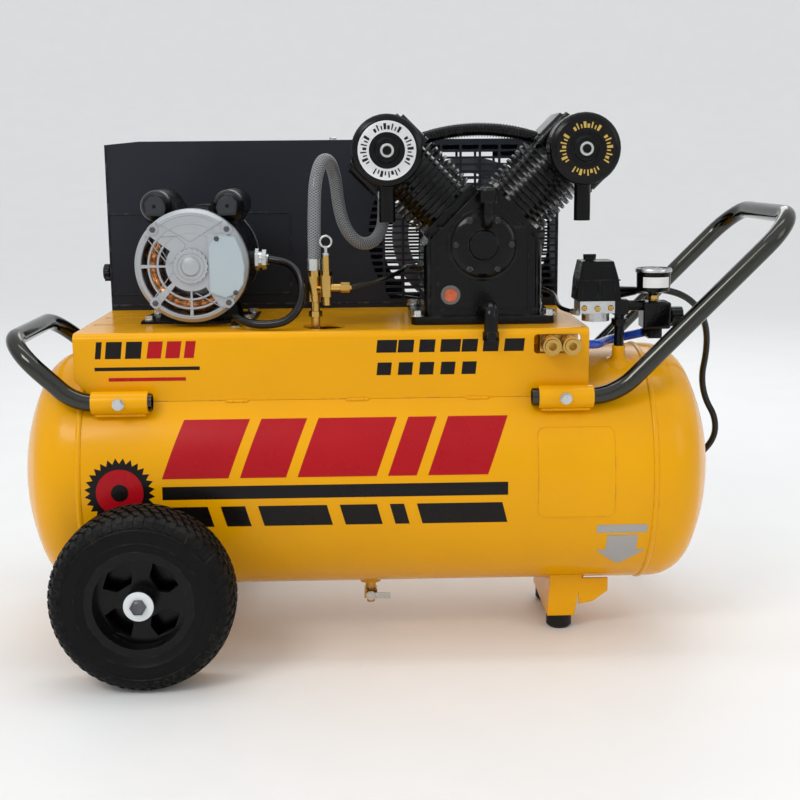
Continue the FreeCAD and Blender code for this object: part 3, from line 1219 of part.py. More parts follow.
def hose_fittings():
    """Plated nuts and glands at the ends of the hoses and the motor's cord."""
    x, y, z = DISCHARGE_ROUTE[0]
    end_x, end_y, end_z = DISCHARGE_ROUTE[-1]
    port_y = CYLINDER_Y + HEAD_HALF_DEPTH
    ferrule = rod((x, y, 544.4), (x, y, z), 10.5)
    toward = V(*DISCHARGE_ROUTE[-1]) - V(*DISCHARGE_ROUTE[-2])
    toward.normalize()
    end = V(end_x, end_y, end_z)
    elbow = swept([end, end + toward * 34, (end_x, end_y + 10, end_z + 52),
                   (end_x, port_y, end_z + 52)], 8.0, [8.0, 9.0])
    nut = rod(end, end + toward * 14, 10.5)
    boss_x, boss_z = MOTOR_X + 88, MOTOR_Z + 5
    gland = [
        hexagon((boss_x, -28, boss_z), X, 28, 5),
        rod((boss_x + 5, -28, boss_z), (boss_x + 10, -28, boss_z), 12),
        hexagon((boss_x + 10, -28, boss_z), X, 25, 6),
        stub(MOTOR_CORD_ROUTE, 7, 8),
    ]
    grommet = sleeve((*CORD_HOLE, PLATE_UNDER - 1.5), (*CORD_HOLE, SADDLE_TOP + 1.5), 8.7,
                     MOTOR_CORD_DIAMETER / 2 + 0.2)
    barb = stub(BLUE_ROUTE, 8, 4.5).cut(coupler_block())
    return [ferrule, fuse([nut, elbow]), fuse(gland), grommet, barb]


# ---- Power cord -----------------------------------------------------------------------------------


def strain_relief():
    """A tapered sleeve where the power cord leaves the switch."""
    start, second = V(*POWER_ROUTE[0]), V(*POWER_ROUTE[1])
    back = start - second
    back.normalize()
    root = start + back * 32
    return Part.makeCone(9.5, POWER_CORD_DIAMETER / 2 + 1.2, 32, root, start - root)


def power_coil():
    """The outer shape of the wound cord that is put away behind the machine."""
    x, y = COIL_CENTRE
    return sleeve((x, y, 0), (x, y, COIL_HEIGHT), COIL_OUTER, COIL_INNER)


def power_plug():
    """A moulded three pin plug lying beside the coil."""
    x, y = PLUG_START
    body = box(x - 13, x + 13, y - 36, y, 0, 24)
    body = body.makeFillet(5, [e for e in body.Edges if abs(e.tangentAt(0).y) > 0.9])
    blades = [box(x + s * 6.75 - 0.75, x + s * 6.75 + 0.75, y - 53, y - 35, 12, 18) for s in (-1, 1)]
    earth = rod((x, y - 53, 6), (x, y - 35, 6), 2.4)
    return fuse([body, earth] + blades)


# ---- Fasteners --------------------------------------------------------------------------------------


def mounting_bolts():
    """The bolts that hold the motor, the pump, the guard and the handles."""
    pieces = [bolt((x, y, SADDLE_TOP + 4), (0, 0, 1), MOTOR_BOLT, 12) for x, y in motor_bolt_places()]
    pieces += [bolt((x, y, SADDLE_TOP + FOOT_THICKNESS), (0, 0, 1), PUMP_BOLT, 22)
               for x, y in pump_bolt_places()]
    pieces += [bolt((x, SADDLE_REAR - SADDLE_SHEET, GUARD_BOLT_Z), (0, -1, 0), GUARD_BOLT, 10)
               for x in guard_bolt_places()]
    for side in (-1, 1):
        pieces += [handle_bolt(LIFT_BOLT_X, side), handle_bolt(PUSH_BOLT_X, side)]
    return pieces


def build():
    filters = filter_housing()
    caps = filter_cap()
    nodes = {
        "tank_shell": tank_shell(),
        "tank_heads": group([tank_head(LEFT_SEAM, -1), tank_head(RIGHT_SEAM, 1)]),
        "drain_valve": drain_valve(),
        "drain_handle": drain_handle(),
        "saddle": saddle(),
        "foot_bracket": foot_bracket(),
        "rubber_feet": group([rubber_foot(-1), rubber_foot(1)]),
        "axle_brackets": group([axle_bracket(-1), axle_bracket(1)]),
        "axle_fasteners": group(axle_fasteners(-1) + axle_fasteners(1)),
        "handle_sockets": group([handle_socket(ends, bolt_x, side) for side in (-1, 1)
                                 for ends, bolt_x in ((LIFT_SOCKET, LIFT_BOLT_X),
                                                      (PUSH_SOCKET, PUSH_BOLT_X))]),
        "lift_handle": handle(-349.5, -456.0, LIFT_HANDLE_TIP_Z, -1, (70.0, 60.0)),
        "push_handle": handle(182.0, 300.0, PUSH_HANDLE_TIP_Z, 1, (90.0, 60.0)),
        "guard_front_panel": guard_front_panel(),
        "guard_back_cover": guard_back_cover(),
        "motor_shell": motor_shell(),
        "motor_end_bells": group([front_bell(), rear_bell()]),
        "capacitor_covers": group([capacitor_cover(-1), capacitor_cover(1)]),
        "motor_stator": motor_stator(),
        "motor_rotor": motor_rotor(),
        "motor_pulley": grooved_wheel(MOTOR_X, MOTOR_Z, PULLEY_RADIUS, MOTOR_SHAFT_RADIUS),
        "flywheel": flywheel(),
        "drive_belt": drive_belt(),
        "crankcase": crankcase(),
        "bearing_covers": group(bearing_covers()),
        "crankshaft": crankshaft(),
        "cylinders": group(both_sides(cylinder())),
        "cylinder_heads": group(both_sides(cylinder_head())),
        "left_piston": piston(),
        "right_piston": mirrored(piston(), X, PUMP_X),
        "crossover_pipe": crossover_pipe(),
        "filter_housings": group(both_sides(filters)),
        "filter_caps": group(both_sides(caps)),
        "sight_glass": sight_glass(),
        "oil_fittings": group(oil_fittings()),
        "check_valve": check_valve(),
        "safety_valve": safety_valve(),
        "safety_ring": safety_ring(),
        "switch_base": switch_base(),
        "switch_cover": group(switch_cover()),
        "switch_knob": switch_knob(),
        "manifold": manifold(),
        "regulator_knob": regulator_knob(),
        "gauge_case": gauge_case(),
        "gauge_needle": gauge_needle(),
        "couplers": couplers(),
        "left_coupler_sleeve": coupler_sleeve(COUPLER_XS[0]),
        "right_coupler_sleeve": coupler_sleeve(COUPLER_XS[1]),
        "hose_fittings": group(hose_fittings()),
        "discharge_hose": cord("discharge_hose", DISCHARGE_ROUTE, HOSE_DIAMETER),
        "blue_hose": cord("blue_hose", BLUE_ROUTE, BLUE_HOSE_DIAMETER),
        "motor_cord": cord("motor_cord", MOTOR_CORD_ROUTE, MOTOR_CORD_DIAMETER),
        "unloader_tube": cord("unloader_tube", UNLOADER_ROUTE, UNLOADER_DIAMETER),
        "power_cord_run": cord("power_cord_run", POWER_ROUTE, POWER_CORD_DIAMETER),
        "power_cord_coil": power_coil(),
        "power_plug": power_plug(),
        "mounting_bolts": group(mounting_bolts()),
    }
    for side, name in ((-1, "near"), (1, "far")):
        nodes[f"{name}_wheel_rim"] = wheel_rim(side)
        nodes[f"{name}_wheel_tyre"] = wheel_tyre(side)
    return nodes


os.makedirs("parts", exist_ok=True)
for name, shape in build().items():
    if not shape.isValid():
        print("not valid:", name)
    shape.exportStep(os.path.join("parts", f"{name}.step"))
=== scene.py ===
from math import copysign, cos, degrees, pi, radians, sin, sqrt

import bmesh
import bpy
from mathutils import Matrix, Vector


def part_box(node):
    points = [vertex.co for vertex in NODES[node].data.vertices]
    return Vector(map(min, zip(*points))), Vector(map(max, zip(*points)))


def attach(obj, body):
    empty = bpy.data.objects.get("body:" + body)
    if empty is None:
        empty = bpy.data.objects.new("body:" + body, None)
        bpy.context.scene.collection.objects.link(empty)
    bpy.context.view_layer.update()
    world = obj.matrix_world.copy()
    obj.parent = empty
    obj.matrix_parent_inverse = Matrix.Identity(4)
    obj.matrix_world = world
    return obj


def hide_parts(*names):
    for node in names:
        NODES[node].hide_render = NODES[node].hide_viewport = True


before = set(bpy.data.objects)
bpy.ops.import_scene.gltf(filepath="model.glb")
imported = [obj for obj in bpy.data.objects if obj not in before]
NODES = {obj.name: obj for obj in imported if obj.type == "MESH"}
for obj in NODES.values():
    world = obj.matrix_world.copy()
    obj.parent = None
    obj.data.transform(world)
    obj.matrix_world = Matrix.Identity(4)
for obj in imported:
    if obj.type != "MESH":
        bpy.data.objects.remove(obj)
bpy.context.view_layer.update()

ROOT = "machine"

# ---- Places and sizes ----
# In millimetres, but for BADGE_ANGLE in degrees and CAMERA_TURN in radians. MOTOR and PUMP give
# the x and z of an axis that runs along y, and GAUGE the x and y of an upright one.

TANK_RADIUS, TANK_AXIS_Z = 178.0, 243.7
SKIRT_Y = 129
WHEEL_X, WHEEL_Y, WHEEL_Z = -353.5, 262.0, 125.0
WASHER_INNER, WASHER_OUTER = 301.6, 304.2
MOTOR = (-298.0, 552.2)
MOTOR_FACE = -75.6
MOTOR_HUB_FACE = -81
CAPACITOR_OFFSET = (52, 84)
CAPACITOR_FACE = -56.8
GUARD_PANEL_Y = 166.3
GUARD_KNOB = (-460, 214, 521)
PUMP = (120.5, 577.5)
FILTER_OFFSET, FILTER_Y, FILTER_Z = 138, -110, 711.5
FIN_COUNT = 33
GAUGE = (367.0, -70.0)
GAUGE_RADIUS = 26.0
PRINT_LEFT = -336.0
BADGE_X, BADGE_ANGLE, BADGE_POINTS = -395.0, 1.0, 56
CAMERA_AT = (-50, -1934.3, 697)
CAMERA_TURN = (0.026, 0.1824, 0.0094)
CAMERA_LENS = 58.3

# The studio floor's rings, each a radius and a height in metres.
FLOOR_PROFILE = ((5, 0), (6.5, 0), (8, 0.12), (9.5, 0.55), (11, 1.4), (12.3, 2.8), (13.2, 4.6),
                 (13.8, 7))


def mm(*v):
    """Millimetres to a point in metres."""
    return Vector(v) / 1000


def new_object(name, data):
    """Put data into the scene as an object."""
    made = bpy.data.objects.new(name, data)
    bpy.context.scene.collection.objects.link(made)
    return made


# ---- Camera, light and floor ----


def camera():
    """A camera turned by its yaw, pitch and roll."""
    yaw, pitch, roll = CAMERA_TURN
    right = Vector((cos(yaw), -sin(yaw), 0))
    ahead = Vector((sin(yaw) * cos(pitch), cos(yaw) * cos(pitch), -sin(pitch)))
    up = right.cross(ahead)
    side = right * cos(roll) - up * sin(roll)
    top = right * sin(roll) + up * cos(roll)
    data = bpy.data.cameras.new("camera")
    data.sensor_width = 36.0
    data.lens = CAMERA_LENS
    data.clip_end = 100
    data.dof.use_dof = False
    cam = new_object("camera", data)
    cam.matrix_world = Matrix((side, top, -ahead)).transposed().to_4x4()
    cam.location = mm(*CAMERA_AT)
    bpy.context.scene.camera = cam


def softbox(name, place, aim, size, power, tint=(1, 1, 1)):
    """A soft oblong light aimed at a point."""
    data = bpy.data.lights.new(name, "AREA")
    data.shape = "RECTANGLE"
    data.size, data.size_y = size
    data.energy = power
    data.color = tint
    lamp = new_object(name, data)
    lamp.location = place
    lamp.rotation_euler = (Vector(aim) - Vector(place)).to_track_quat("-Z", "Y").to_euler()


def studio():
    """Soft lights and a floor that rises into a seamless bowl."""
    scene = bpy.context.scene
    scene.view_settings.view_transform = "Standard"
    world = bpy.data.worlds.new("studio")
    world.use_nodes = True
    sky = world.node_tree.nodes["Background"].inputs
    sky["Color"].default_value = (0.93, 0.95, 0.98, 1)
    sky["Strength"].default_value = 0.95
    scene.world = world
    softbox("key", (-1.6, -2.2, 2.6), (-0.1, 0, 0.3), (1.3, 0.8), 30, (1, 0.98, 0.95))
    softbox("fill", (2.6, -1.8, 1.5), (0.1, 0, 0.4), (1.2, 1.2), 7)
    softbox("back", (0.6, 2.8, 2.2), (0, 0, 0.4), (2.0, 1.0), 16)
    softbox("over", (0, 0.1, 3.0), (0, 0, 0), (2.2, 0.5), 12)
    bm = bmesh.new()
    rings = [[bm.verts.new((radius * cos(a), radius * sin(a), height)) for a in angles(96)]
             for radius, height in FLOOR_PROFILE]
    bm.faces.new(rings[0])
    skin(bm, rings)
    for face in bm.faces:
        face.smooth = True
    bmesh.ops.recalc_face_normals(bm, faces=bm.faces)
    data = bpy.data.meshes.new("floor")
    bm.to_mesh(data)
    bm.free()
    floor = new_object("floor", data)
    floor.data.materials.append(finish("studio_floor", (0.84, 0.84, 0.83), 0.55, tone=0.01,
                                       grain=0.02, grain_scale=300, edge=0))


# ---- Finishes ----


class Tree:
    """A short way to write shader nodes."""

    def __init__(self, name):
        self.material = bpy.data.materials.new(name)
        self.material.use_nodes = True
        self.tree = self.material.node_tree
        self.shader = self.tree.nodes["Principled BSDF"]

    def node(self, kind, settings=None, **inputs):
        made = self.tree.nodes.new("ShaderNode" + kind)
        for key, value in (settings or {}).items():
            setattr(made, key, value)
        for key, value in inputs.items():
            self.put(made, int(key[1:]) if key[0] == "i" and key[1:].isdigit() else
                     key.replace("_", " "), value)
        return made

    def put(self, made, key, value):
        socket = made.inputs[key]
        if isinstance(value, bpy.types.NodeSocket):
            self.tree.links.new(value, socket)
        elif isinstance(value, bpy.types.Node):
            self.tree.links.new(value.outputs[0], socket)
        else:
            socket.default_value = value

    def math(self, operation, a, b=0.0, clamp=False):
        return self.node("Math", {"operation": operation, "use_clamp": clamp}, i0=a, i1=b).outputs[0]

    def blend(self, share, a, b):
        mix = self.node("Mix", {"data_type": "RGBA"})
        self.put(mix, 0, share)
        self.put(mix, 6, a)
        self.put(mix, 7, b)
        return mix.outputs[2]

    def ramp(self, value, low, high, to=(0.0, 1.0)):
        made = self.node("MapRange", {"clamp": True})
        for key, v in zip(range(5), (value, low, high, *to)):
            self.put(made, key, v)
        return made.outputs[0]

    def noise(self, scale, detail=3.0, vector=None):
        made = self.node("TexNoise", None, Scale=scale, Detail=detail, Roughness=0.55)
        self.put(made, "Vector", vector or self.place())
        return made.outputs[0]

    def place(self, stretch=None):
        coords = self.node("TexCoord").outputs["Object"]
        if stretch is None:
            return coords
        return self.node("Mapping", None, Vector=coords, Scale=stretch).outputs[0]


def rgba(color, gain=1.0):
    return (*[min(1.0, c * gain) for c in color], 1.0)


def finish(name, color, rough, metal=0.0, coat=0.0, tone=0.1, tone_scale=6.0, grain=0.1,
           grain_scale=900.0, edge=0.0007, worn=None, wear=0.0, dust=0.0, stretch=None,
           smears=0.08, deep=0.0003, shine=0.5):
    """A solid finish with uneven tone, smears, a fine grain, softened edges, wear and dust."""
    t = Tree(name)
    shader = t.shader
    patches = t.ramp(t.noise(tone_scale, 5), 0.3, 0.7)
    shade = t.blend(patches, rgba(color, 1 - tone), rgba(color, 1 + tone))
    smear = t.noise(tone_scale * 4, 6, t.place(stretch))
    gloss = t.ramp(smear, 0.25, 0.75, (max(0.02, rough - smears), rough + smears))
    if dust:
        up = t.node("SeparateXYZ", None, Vector=t.node("NewGeometry").outputs["Normal"]).outputs[2]
        settled = t.math("MULTIPLY", t.ramp(up, 0.2, 1.0), t.ramp(t.noise(38, 6), 0.35, 0.75))
        settled = t.math("MULTIPLY", settled, dust)
        shade = t.blend(settled, shade, (0.42, 0.40, 0.37, 1))
        gloss = t.math("ADD", gloss, t.math("MULTIPLY", settled, 0.5), True)
    soft = None
    if edge:
        soft = t.node("Bevel", {"samples": 4}, Radius=edge).outputs[0]
    if worn and edge:
        wide = t.node("Bevel", {"samples": 4}, Radius=edge * 2.2).outputs[0]
        flat = t.node("NewGeometry").outputs["True Normal"]
        turn = t.node("VectorMath", {"operation": "DOT_PRODUCT"}, i0=wide, i1=flat).outputs["Value"]
        rubbed = t.math("MULTIPLY", t.ramp(turn, 0.97, 0.86), t.ramp(t.noise(60, 5), 0.52, 0.6))
        rubbed = t.math("MULTIPLY", rubbed, wear)
        shade = t.blend(rubbed, shade, rgba(worn))
        gloss = t.math("ADD", gloss, t.math("MULTIPLY", rubbed, 0.2), True)
    height = t.noise(grain_scale, 3, t.place(stretch))
    bump = t.node("Bump", None, Strength=grain, Distance=deep, Height=height)
    if soft:
        t.put(bump, "Normal", soft)
    t.put(shader, "Base Color", shade)
    t.put(shader, "Roughness", gloss)
    t.put(shader, "Metallic", metal)
    t.put(shader, "Specular IOR Level", shine)
    t.put(shader, "Coat Weight", coat)
    t.put(shader, "Coat Roughness", 0.08)
    t.put(shader, "Normal", bump)
    return t.material


def see_through(name, color, rough, density=0.6, grain=0.05):
    """Clear or milky plastic and glass."""
    t = Tree(name)
    patches = t.ramp(t.noise(30, 4), 0.3, 0.7, (0.9, 1.0))
    t.put(t.shader, "Base Color", rgba(color))
    t.put(t.shader, "Roughness", t.ramp(t.noise(70, 5), 0.3, 0.7, (rough, rough + 0.1)))
    t.put(t.shader, "Transmission Weight", t.math("MULTIPLY", patches, density))
    t.put(t.shader, "IOR", 1.42)
    t.put(t.shader, "Normal", t.node("Bump", None, Strength=grain, Distance=0.0003,
                                     Height=t.noise(500, 3)))
    return t.material


M = {
    "yellow": finish(
        "amber_enamel", (0.80, 0.365, 0.0), 0.22, coat=0.04, shine=0.16, tone=0.035, grain=0.05,
        grain_scale=420, edge=0.0012, worn=(0.25, 0.16, 0.08), wear=0.5, dust=0.03, smears=0.05,
        deep=0.0004),
    "charcoal": finish(
        "charcoal_powder_coat", (0.020, 0.023, 0.031), 0.52, shine=0.13, tone=0.16, grain=0.25,
        grain_scale=1500, worn=(0.22, 0.22, 0.23), wear=0.5, dust=0.03),
    "motor_black": finish(
        "motor_enamel", (0.003, 0.003, 0.004), 0.28, shine=0.18, tone=0.2, grain=0.15,
        grain_scale=700, worn=(0.2, 0.2, 0.2), wear=0.4, dust=0.03),
    "iron": finish(
        "black_iron_enamel", (0.0015, 0.0015, 0.002), 0.14, coat=0.04, shine=0.22, tone=0.25,
        grain=0.5, grain_scale=260, edge=0.0012, worn=(0.16, 0.15, 0.14), wear=0.3, dust=0.02,
        deep=0.0007),
    "cast": finish(
        "cast_aluminium", (0.40, 0.42, 0.44), 0.42, metal=0.6, grain=0.4, grain_scale=650,
        edge=0.0009, dust=0.15, deep=0.0004),
    "zinc": finish(
        "zinc_plate", (0.60, 0.61, 0.60), 0.3, metal=1.0, tone=0.12, tone_scale=40, smears=0.12),
    "steel": finish(
        "bright_steel", (0.52, 0.52, 0.53), 0.25, metal=1.0, grain=0.2, tone_scale=30,
        grain_scale=400, stretch=(1, 30, 1)),
    "grey_iron": finish(
        "turned_grey_iron", (0.13, 0.13, 0.135), 0.36, metal=0.9, tone=0.15, grain=0.2,
        grain_scale=500, worn=(0.5, 0.5, 0.5), wear=0.5),
    "chrome": finish(
        "black_chrome", (0.058, 0.058, 0.052), 0.12, metal=1.0, tone=0.06, grain=0.02, smears=0.05,
        worn=(0.4, 0.38, 0.35), wear=0.2),
    "brass": finish(
        "brass", (0.60, 0.37, 0.10), 0.22, metal=1.0, tone=0.14, tone_scale=12, grain=0.04),
    "plastic": finish(
        "moulded_black", (0.002, 0.002, 0.0025), 0.2, shine=0.2, tone=0.15, grain=0.12,
        grain_scale=1400, worn=(0.1, 0.1, 0.1), wear=0.4, dust=0.03),
    "tyre": finish(
        "tyre_rubber", (0.003, 0.003, 0.003), 0.48, shine=0.13, tone=0.25, tone_scale=20,
        grain=0.35, grain_scale=1100, worn=(0.05, 0.045, 0.04), wear=0.5, dust=0.06, edge=0.001),
    "rubber": finish(
        "black_rubber", (0.006, 0.006, 0.006), 0.45, shine=0.25, tone=0.2, grain=0.2, dust=0.05),
    "jacket": finish(
        "cord_jacket", (0.002, 0.002, 0.0025), 0.2, shine=0.35, tone=0.15, grain=0.08,
        grain_scale=1500, dust=0.02, edge=0),
    "blue": finish(
        "blue_hose", (0.006, 0.075, 0.55), 0.25, coat=0.3, tone=0.12, tone_scale=30, grain=0.05,
        edge=0),
    "copper": finish(
        "copper_windings", (0.72, 0.28, 0.09), 0.3, metal=0.9, tone=0.35, tone_scale=90, grain=0.3,
        edge=0),
    "core": finish(
        "lamination_steel", (0.25, 0.25, 0.26), 0.4, metal=0.9, tone=0.2, grain=0.5,
        grain_scale=300, stretch=(1, 20, 1)),
    "red_ink": finish(
        "red_print", (0.40, 0.003, 0.008), 0.3, shine=0.2, tone=0.05, grain=0.03, edge=0),
    "black_ink": finish("black_print", (0.006, 0.004, 0.004), 0.3, shine=0.2, grain=0.03, edge=0),
    "grey_ink": finish("grey_print", (0.36, 0.35, 0.34), 0.35, tone=0.06, grain=0.03, edge=0),
    "silver_ink": finish(
        "silver_label", (0.78, 0.78, 0.79), 0.25, metal=0.7, tone=0.06, grain=0.04, edge=0),
    "gold_ink": finish(
        "gold_print", (0.70, 0.48, 0.12), 0.28, metal=0.8, tone=0.08, grain=0.03, edge=0),
    "white": finish("dial_white", (0.80, 0.80, 0.78), 0.35, tone=0.04, grain=0.03, edge=0),
    "pale": finish("pale_washer", (0.72, 0.75, 0.76), 0.35),
    "red": finish("needle_red", (0.55, 0.02, 0.01), 0.35, tone=0.08, grain=0.05, edge=0),
    "oil": finish(
        "amber_oil", (0.62, 0.10, 0.008), 0.12, coat=0.8, tone=0.3, tone_scale=120, grain=0.05,
        edge=0),
    "clear": see_through("clear_hose_wall", (0.16, 0.17, 0.18), 0.08, 0.35),
    "cover": finish("bluish_cover", (0.40, 0.47, 0.50), 0.35, metal=0.2, tone=0.06, dust=0.1),
    "zinc_dark": finish(
        "painted_bolts", (0.02, 0.02, 0.022), 0.26, metal=0.4, coat=0.2, tone=0.3, grain=0.2,
        worn=(0.4, 0.4, 0.4), wear=0.6),
    "bezel": finish("clear_bezel", (0.10, 0.085, 0.075), 0.08, coat=1.0, tone=0.2, grain=0.03),
    "screw_steel": finish(
        "dark_screws", (0.11, 0.11, 0.12), 0.35, metal=0.9, tone=0.2, tone_scale=60),
    # The capacitor faces are coloured lighter than the motor's black covers: a painted highlight.
    "cover_painted_highlight": finish(
        "dull_cover_painted_highlight", (0.028, 0.030, 0.034), 0.36, shine=0.3, tone=0.15, grain=0.2),
    "glass": see_through("lens", (0.97, 0.98, 0.98), 0.02, 0.98, 0.01),
    "strand": finish("grey_braid", (0.34, 0.35, 0.36), 0.35, tone=0.15, grain=0.2, edge=0),
}

WEAR = {
    "yellow": ("tank_shell", "tank_heads", "saddle", "foot_bracket", "axle_brackets",
               "handle_sockets"),
    "charcoal": ("guard_front_panel", "guard_back_cover"),
    "motor_black": ("motor_shell", "capacitor_covers"),
    "iron": ("crankcase", "bearing_covers", "cylinders", "cylinder_heads", "crossover_pipe",
             "oil_fittings", "manifold"),
    "cast": ("motor_end_bells", "left_piston", "right_piston"),
    "zinc": ("axle_fasteners", "mounting_bolts", "hose_fittings", "safety_ring", "switch_base",
             "drain_handle"),
    "steel": ("crankshaft",),
    "grey_iron": ("flywheel", "motor_pulley"),
    "core": ("motor_stator", "motor_rotor"),
    "chrome": ("lift_handle", "push_handle"),
    "brass": ("check_valve", "safety_valve", "couplers", "left_coupler_sleeve",
              "right_coupler_sleeve", "drain_valve"),
    "plastic": ("filter_housings", "filter_caps", "switch_cover", "switch_knob", "regulator_knob",
                "gauge_case", "near_wheel_rim", "far_wheel_rim"),
    "tyre": ("near_wheel_tyre", "far_wheel_tyre"),
    "rubber": ("rubber_feet", "drive_belt"),
    "jacket": ("motor_cord", "unloader_tube", "power_cord_run", "power_cord_coil", "power_plug"),
    "blue": ("blue_hose",),
    "clear": ("discharge_hose",),
    "oil": ("sight_glass",),
    "red": ("gauge_needle",),
}


def dress_frame():
    """Smooth shading, with sharp edges kept, and a finish for each of the frame's nodes."""
    for finish_name, names in WEAR.items():
        for name in names:
            o = NODES[name]
            o.data.materials.clear()
            o.data.materials.append(M[finish_name])
            if "custom_normal" in o.data.attributes:
                o.data.attributes.remove(o.data.attributes["custom_normal"])
            o.data.polygons.foreach_set("use_smooth", [True] * len(o.data.polygons))
            weld = o.modifiers.new("weld", "WELD")
            weld.merge_threshold = 0.000002
            split = o.modifiers.new("split", "EDGE_SPLIT")
            split.split_angle = radians(28)
            normals = o.modifiers.new("normals", "WEIGHTED_NORMAL")
            normals.weight = 95


# ---- Pieces ----


def piece(name, bm, finish_name, body=ROOT, split=35, stands_for=()):
    """Turn a bmesh into a piece that rides on a body."""
    bmesh.ops.remove_doubles(bm, verts=bm.verts, dist=1e-7)
    bmesh.ops.recalc_face_normals(bm, faces=bm.faces)
    data = bpy.data.meshes.new(name)
    bm.to_mesh(data)
    bm.free()
    data.polygons.foreach_set("use_smooth", [True] * len(data.polygons))
    data.materials.append(M[finish_name])
    o = new_object(name, data)
    edges = o.modifiers.new("split", "EDGE_SPLIT")
    edges.split_angle = radians(split)
    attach(o, body)
    if stands_for:
        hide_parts(*stands_for)
    return o


def angles(count, first=0.0):
    """Even steps round a circle, in radians."""
    return [2 * pi * (i + first) / count for i in range(count)]


def skin(bm, rings, around=True):
    """Join each row of points to the next one, all the way round or left open."""
    for low, high in zip(rings, rings[1:]):
        count = len(low)
        for i in range(count if around else count - 1):
            j = (i + 1) % count
            bm.faces.new((low[i], low[j], high[j], high[i]))


def facing(axis):
    """Rotation that takes +Z to an axis."""
    return Vector(axis).to_track_quat("Z", "Y").to_matrix()


def lathe(bm, profile, base, axis, steps=48, closed=False):
    """Turn (radius, height) points, in millimetres, round an axis."""
    turn = facing(axis)
    rings = []
    for r, h in profile:
        if r < 1e-6:
            rings.append([bm.verts.new(mm(*base) + turn @ mm(0, 0, h))])
            continue
        rings.append([bm.verts.new(mm(*base) + turn @ mm(r * cos(a), r * sin(a), h))
                      for a in angles(steps)])
    pairs = list(zip(rings, rings[1:])) + ([(rings[-1], rings[0])] if closed else [])
    for low, high in pairs:
        for i in range(steps):
            j = (i + 1) % steps
            ring = [low[i % len(low)], low[j % len(low)], high[j % len(high)], high[i % len(high)]]
            corners = list(dict.fromkeys(ring))
            if len(corners) > 2:
                bm.faces.new(corners)


def prism(bm, outline, low, high):
    """Join two copies of an outline: low and high place each (u, v) of it."""
    a = [bm.verts.new(low(u, v)) for u, v in outline]
    b = [bm.verts.new(high(u, v)) for u, v in outline]
    bm.faces.new(a)
    bm.faces.new(list(reversed(b)))
    for i in range(len(outline)):
        j = (i + 1) % len(outline)
        bm.faces.new((a[i], b[i], b[j], a[j]))


def block(bm, x0, x1, y0, y1, z0, z1):
    """A plain box between two places on each axis."""
    prism(bm, [(x0, y0), (x1, y0), (x1, y1), (x0, y1)], lambda u, v: mm(u, v, z0),
          lambda u, v: mm(u, v, z1))


def soften(bm, offset, segments=2, clamp=True):
    """Round off every edge."""
    bmesh.ops.bevel(bm, geom=list(bm.edges), offset=offset, segments=segments, affect="EDGES",
                    clamp_overlap=clamp)


def hex_head(bm, base, axis, across, height):
    """A hexagon head with a chamfered top."""
    reach = across / sqrt(3)
    lathe(bm, [(0, 0), (reach, 0), (reach, height * 0.8), (reach * 0.82, height), (0, height)],
          base, axis, 6)


def screw(bm, base, axis, radius, height):
    """A round screw head with a sunk socket in its middle."""
    lathe(bm, [(radius, 0), (radius, height * 0.5), (radius * 0.7, height), (radius * 0.25, height),
               (radius * 0.2, height * 0.5), (0, height * 0.5)], base, axis, 20)


# ---- Cords and hoses ----


def route_curve(name, points, diameter, finish_name, stands_for):
    """One NURBS centreline with a round section."""
    data = bpy.data.curves.new(name, "CURVE")
    data.dimensions = "3D"
    data.bevel_depth = diameter / 2
    data.bevel_resolution = 6
    data.use_fill_caps = True
    spline = data.splines.new("NURBS")
    spline.points.add(len(points) - 1)
    for point, place in zip(spline.points, points):
        point.co = (*place, 1.0)
    spline.order_u = 3
    spline.use_endpoint_u = True
    spline.resolution_u = 12
    data.materials.append(M[finish_name])
    o = new_object(name, data)
    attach(o, ROOT)
    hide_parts(*stands_for)
    return o


DISCHARGE_ROUTE = [
    (-0.122, -0.075, 0.561), (-0.122, -0.075, 0.597), (-0.121, -0.073, 0.634),
    (-0.119, -0.067, 0.670), (-0.111, -0.048, 0.699), (-0.099, -0.022, 0.700),
    (-0.091, -0.004, 0.671), (-0.088, 0.004, 0.634), (-0.080, 0.008, 0.601),
    (-0.062, 0.014, 0.577), (-0.040, 0.028, 0.575), (-0.025, 0.050, 0.590),
    (-0.020, 0.070, 0.613), (-0.020, 0.078, 0.638),
]
BLUE_ROUTE = [
    (0.253, -0.112, 0.438), (0.274, -0.104, 0.436), (0.290, -0.078, 0.434),
    (0.302, -0.048, 0.434), (0.324, -0.039, 0.437), (0.344, -0.046, 0.442),
    (0.356, -0.060, 0.447),
]
MOTOR_CORD_ROUTE = [
    (-0.190, -0.028, 0.557), (-0.168, -0.034, 0.555), (-0.149, -0.054, 0.544),
    (-0.139, -0.082, 0.523), (-0.142, -0.104, 0.496), (-0.160, -0.114, 0.476),
    (-0.188, -0.112, 0.471), (-0.212, -0.106, 0.472), (-0.230, -0.092, 0.477),
    (-0.238, -0.074, 0.479), (-0.239, -0.060, 0.472), (-0.239, -0.060, 0.455),
]
UNLOADER_ROUTE = [
    (-0.070, -0.092, 0.521), (-0.038, -0.086, 0.528), (-0.008, -0.060, 0.535),
    (0.008, -0.016, 0.540), (0.010, 0.036, 0.540), (0.018, 0.086, 0.536),
    (0.050, 0.122, 0.526), (0.098, 0.134, 0.514), (0.150, 0.136, 0.508),
    (0.198, 0.122, 0.504), (0.228, 0.084, 0.500), (0.240, 0.036, 0.494),
    (0.236, -0.010, 0.486), (0.238, -0.048, 0.481), (0.250, -0.068, 0.480),
]
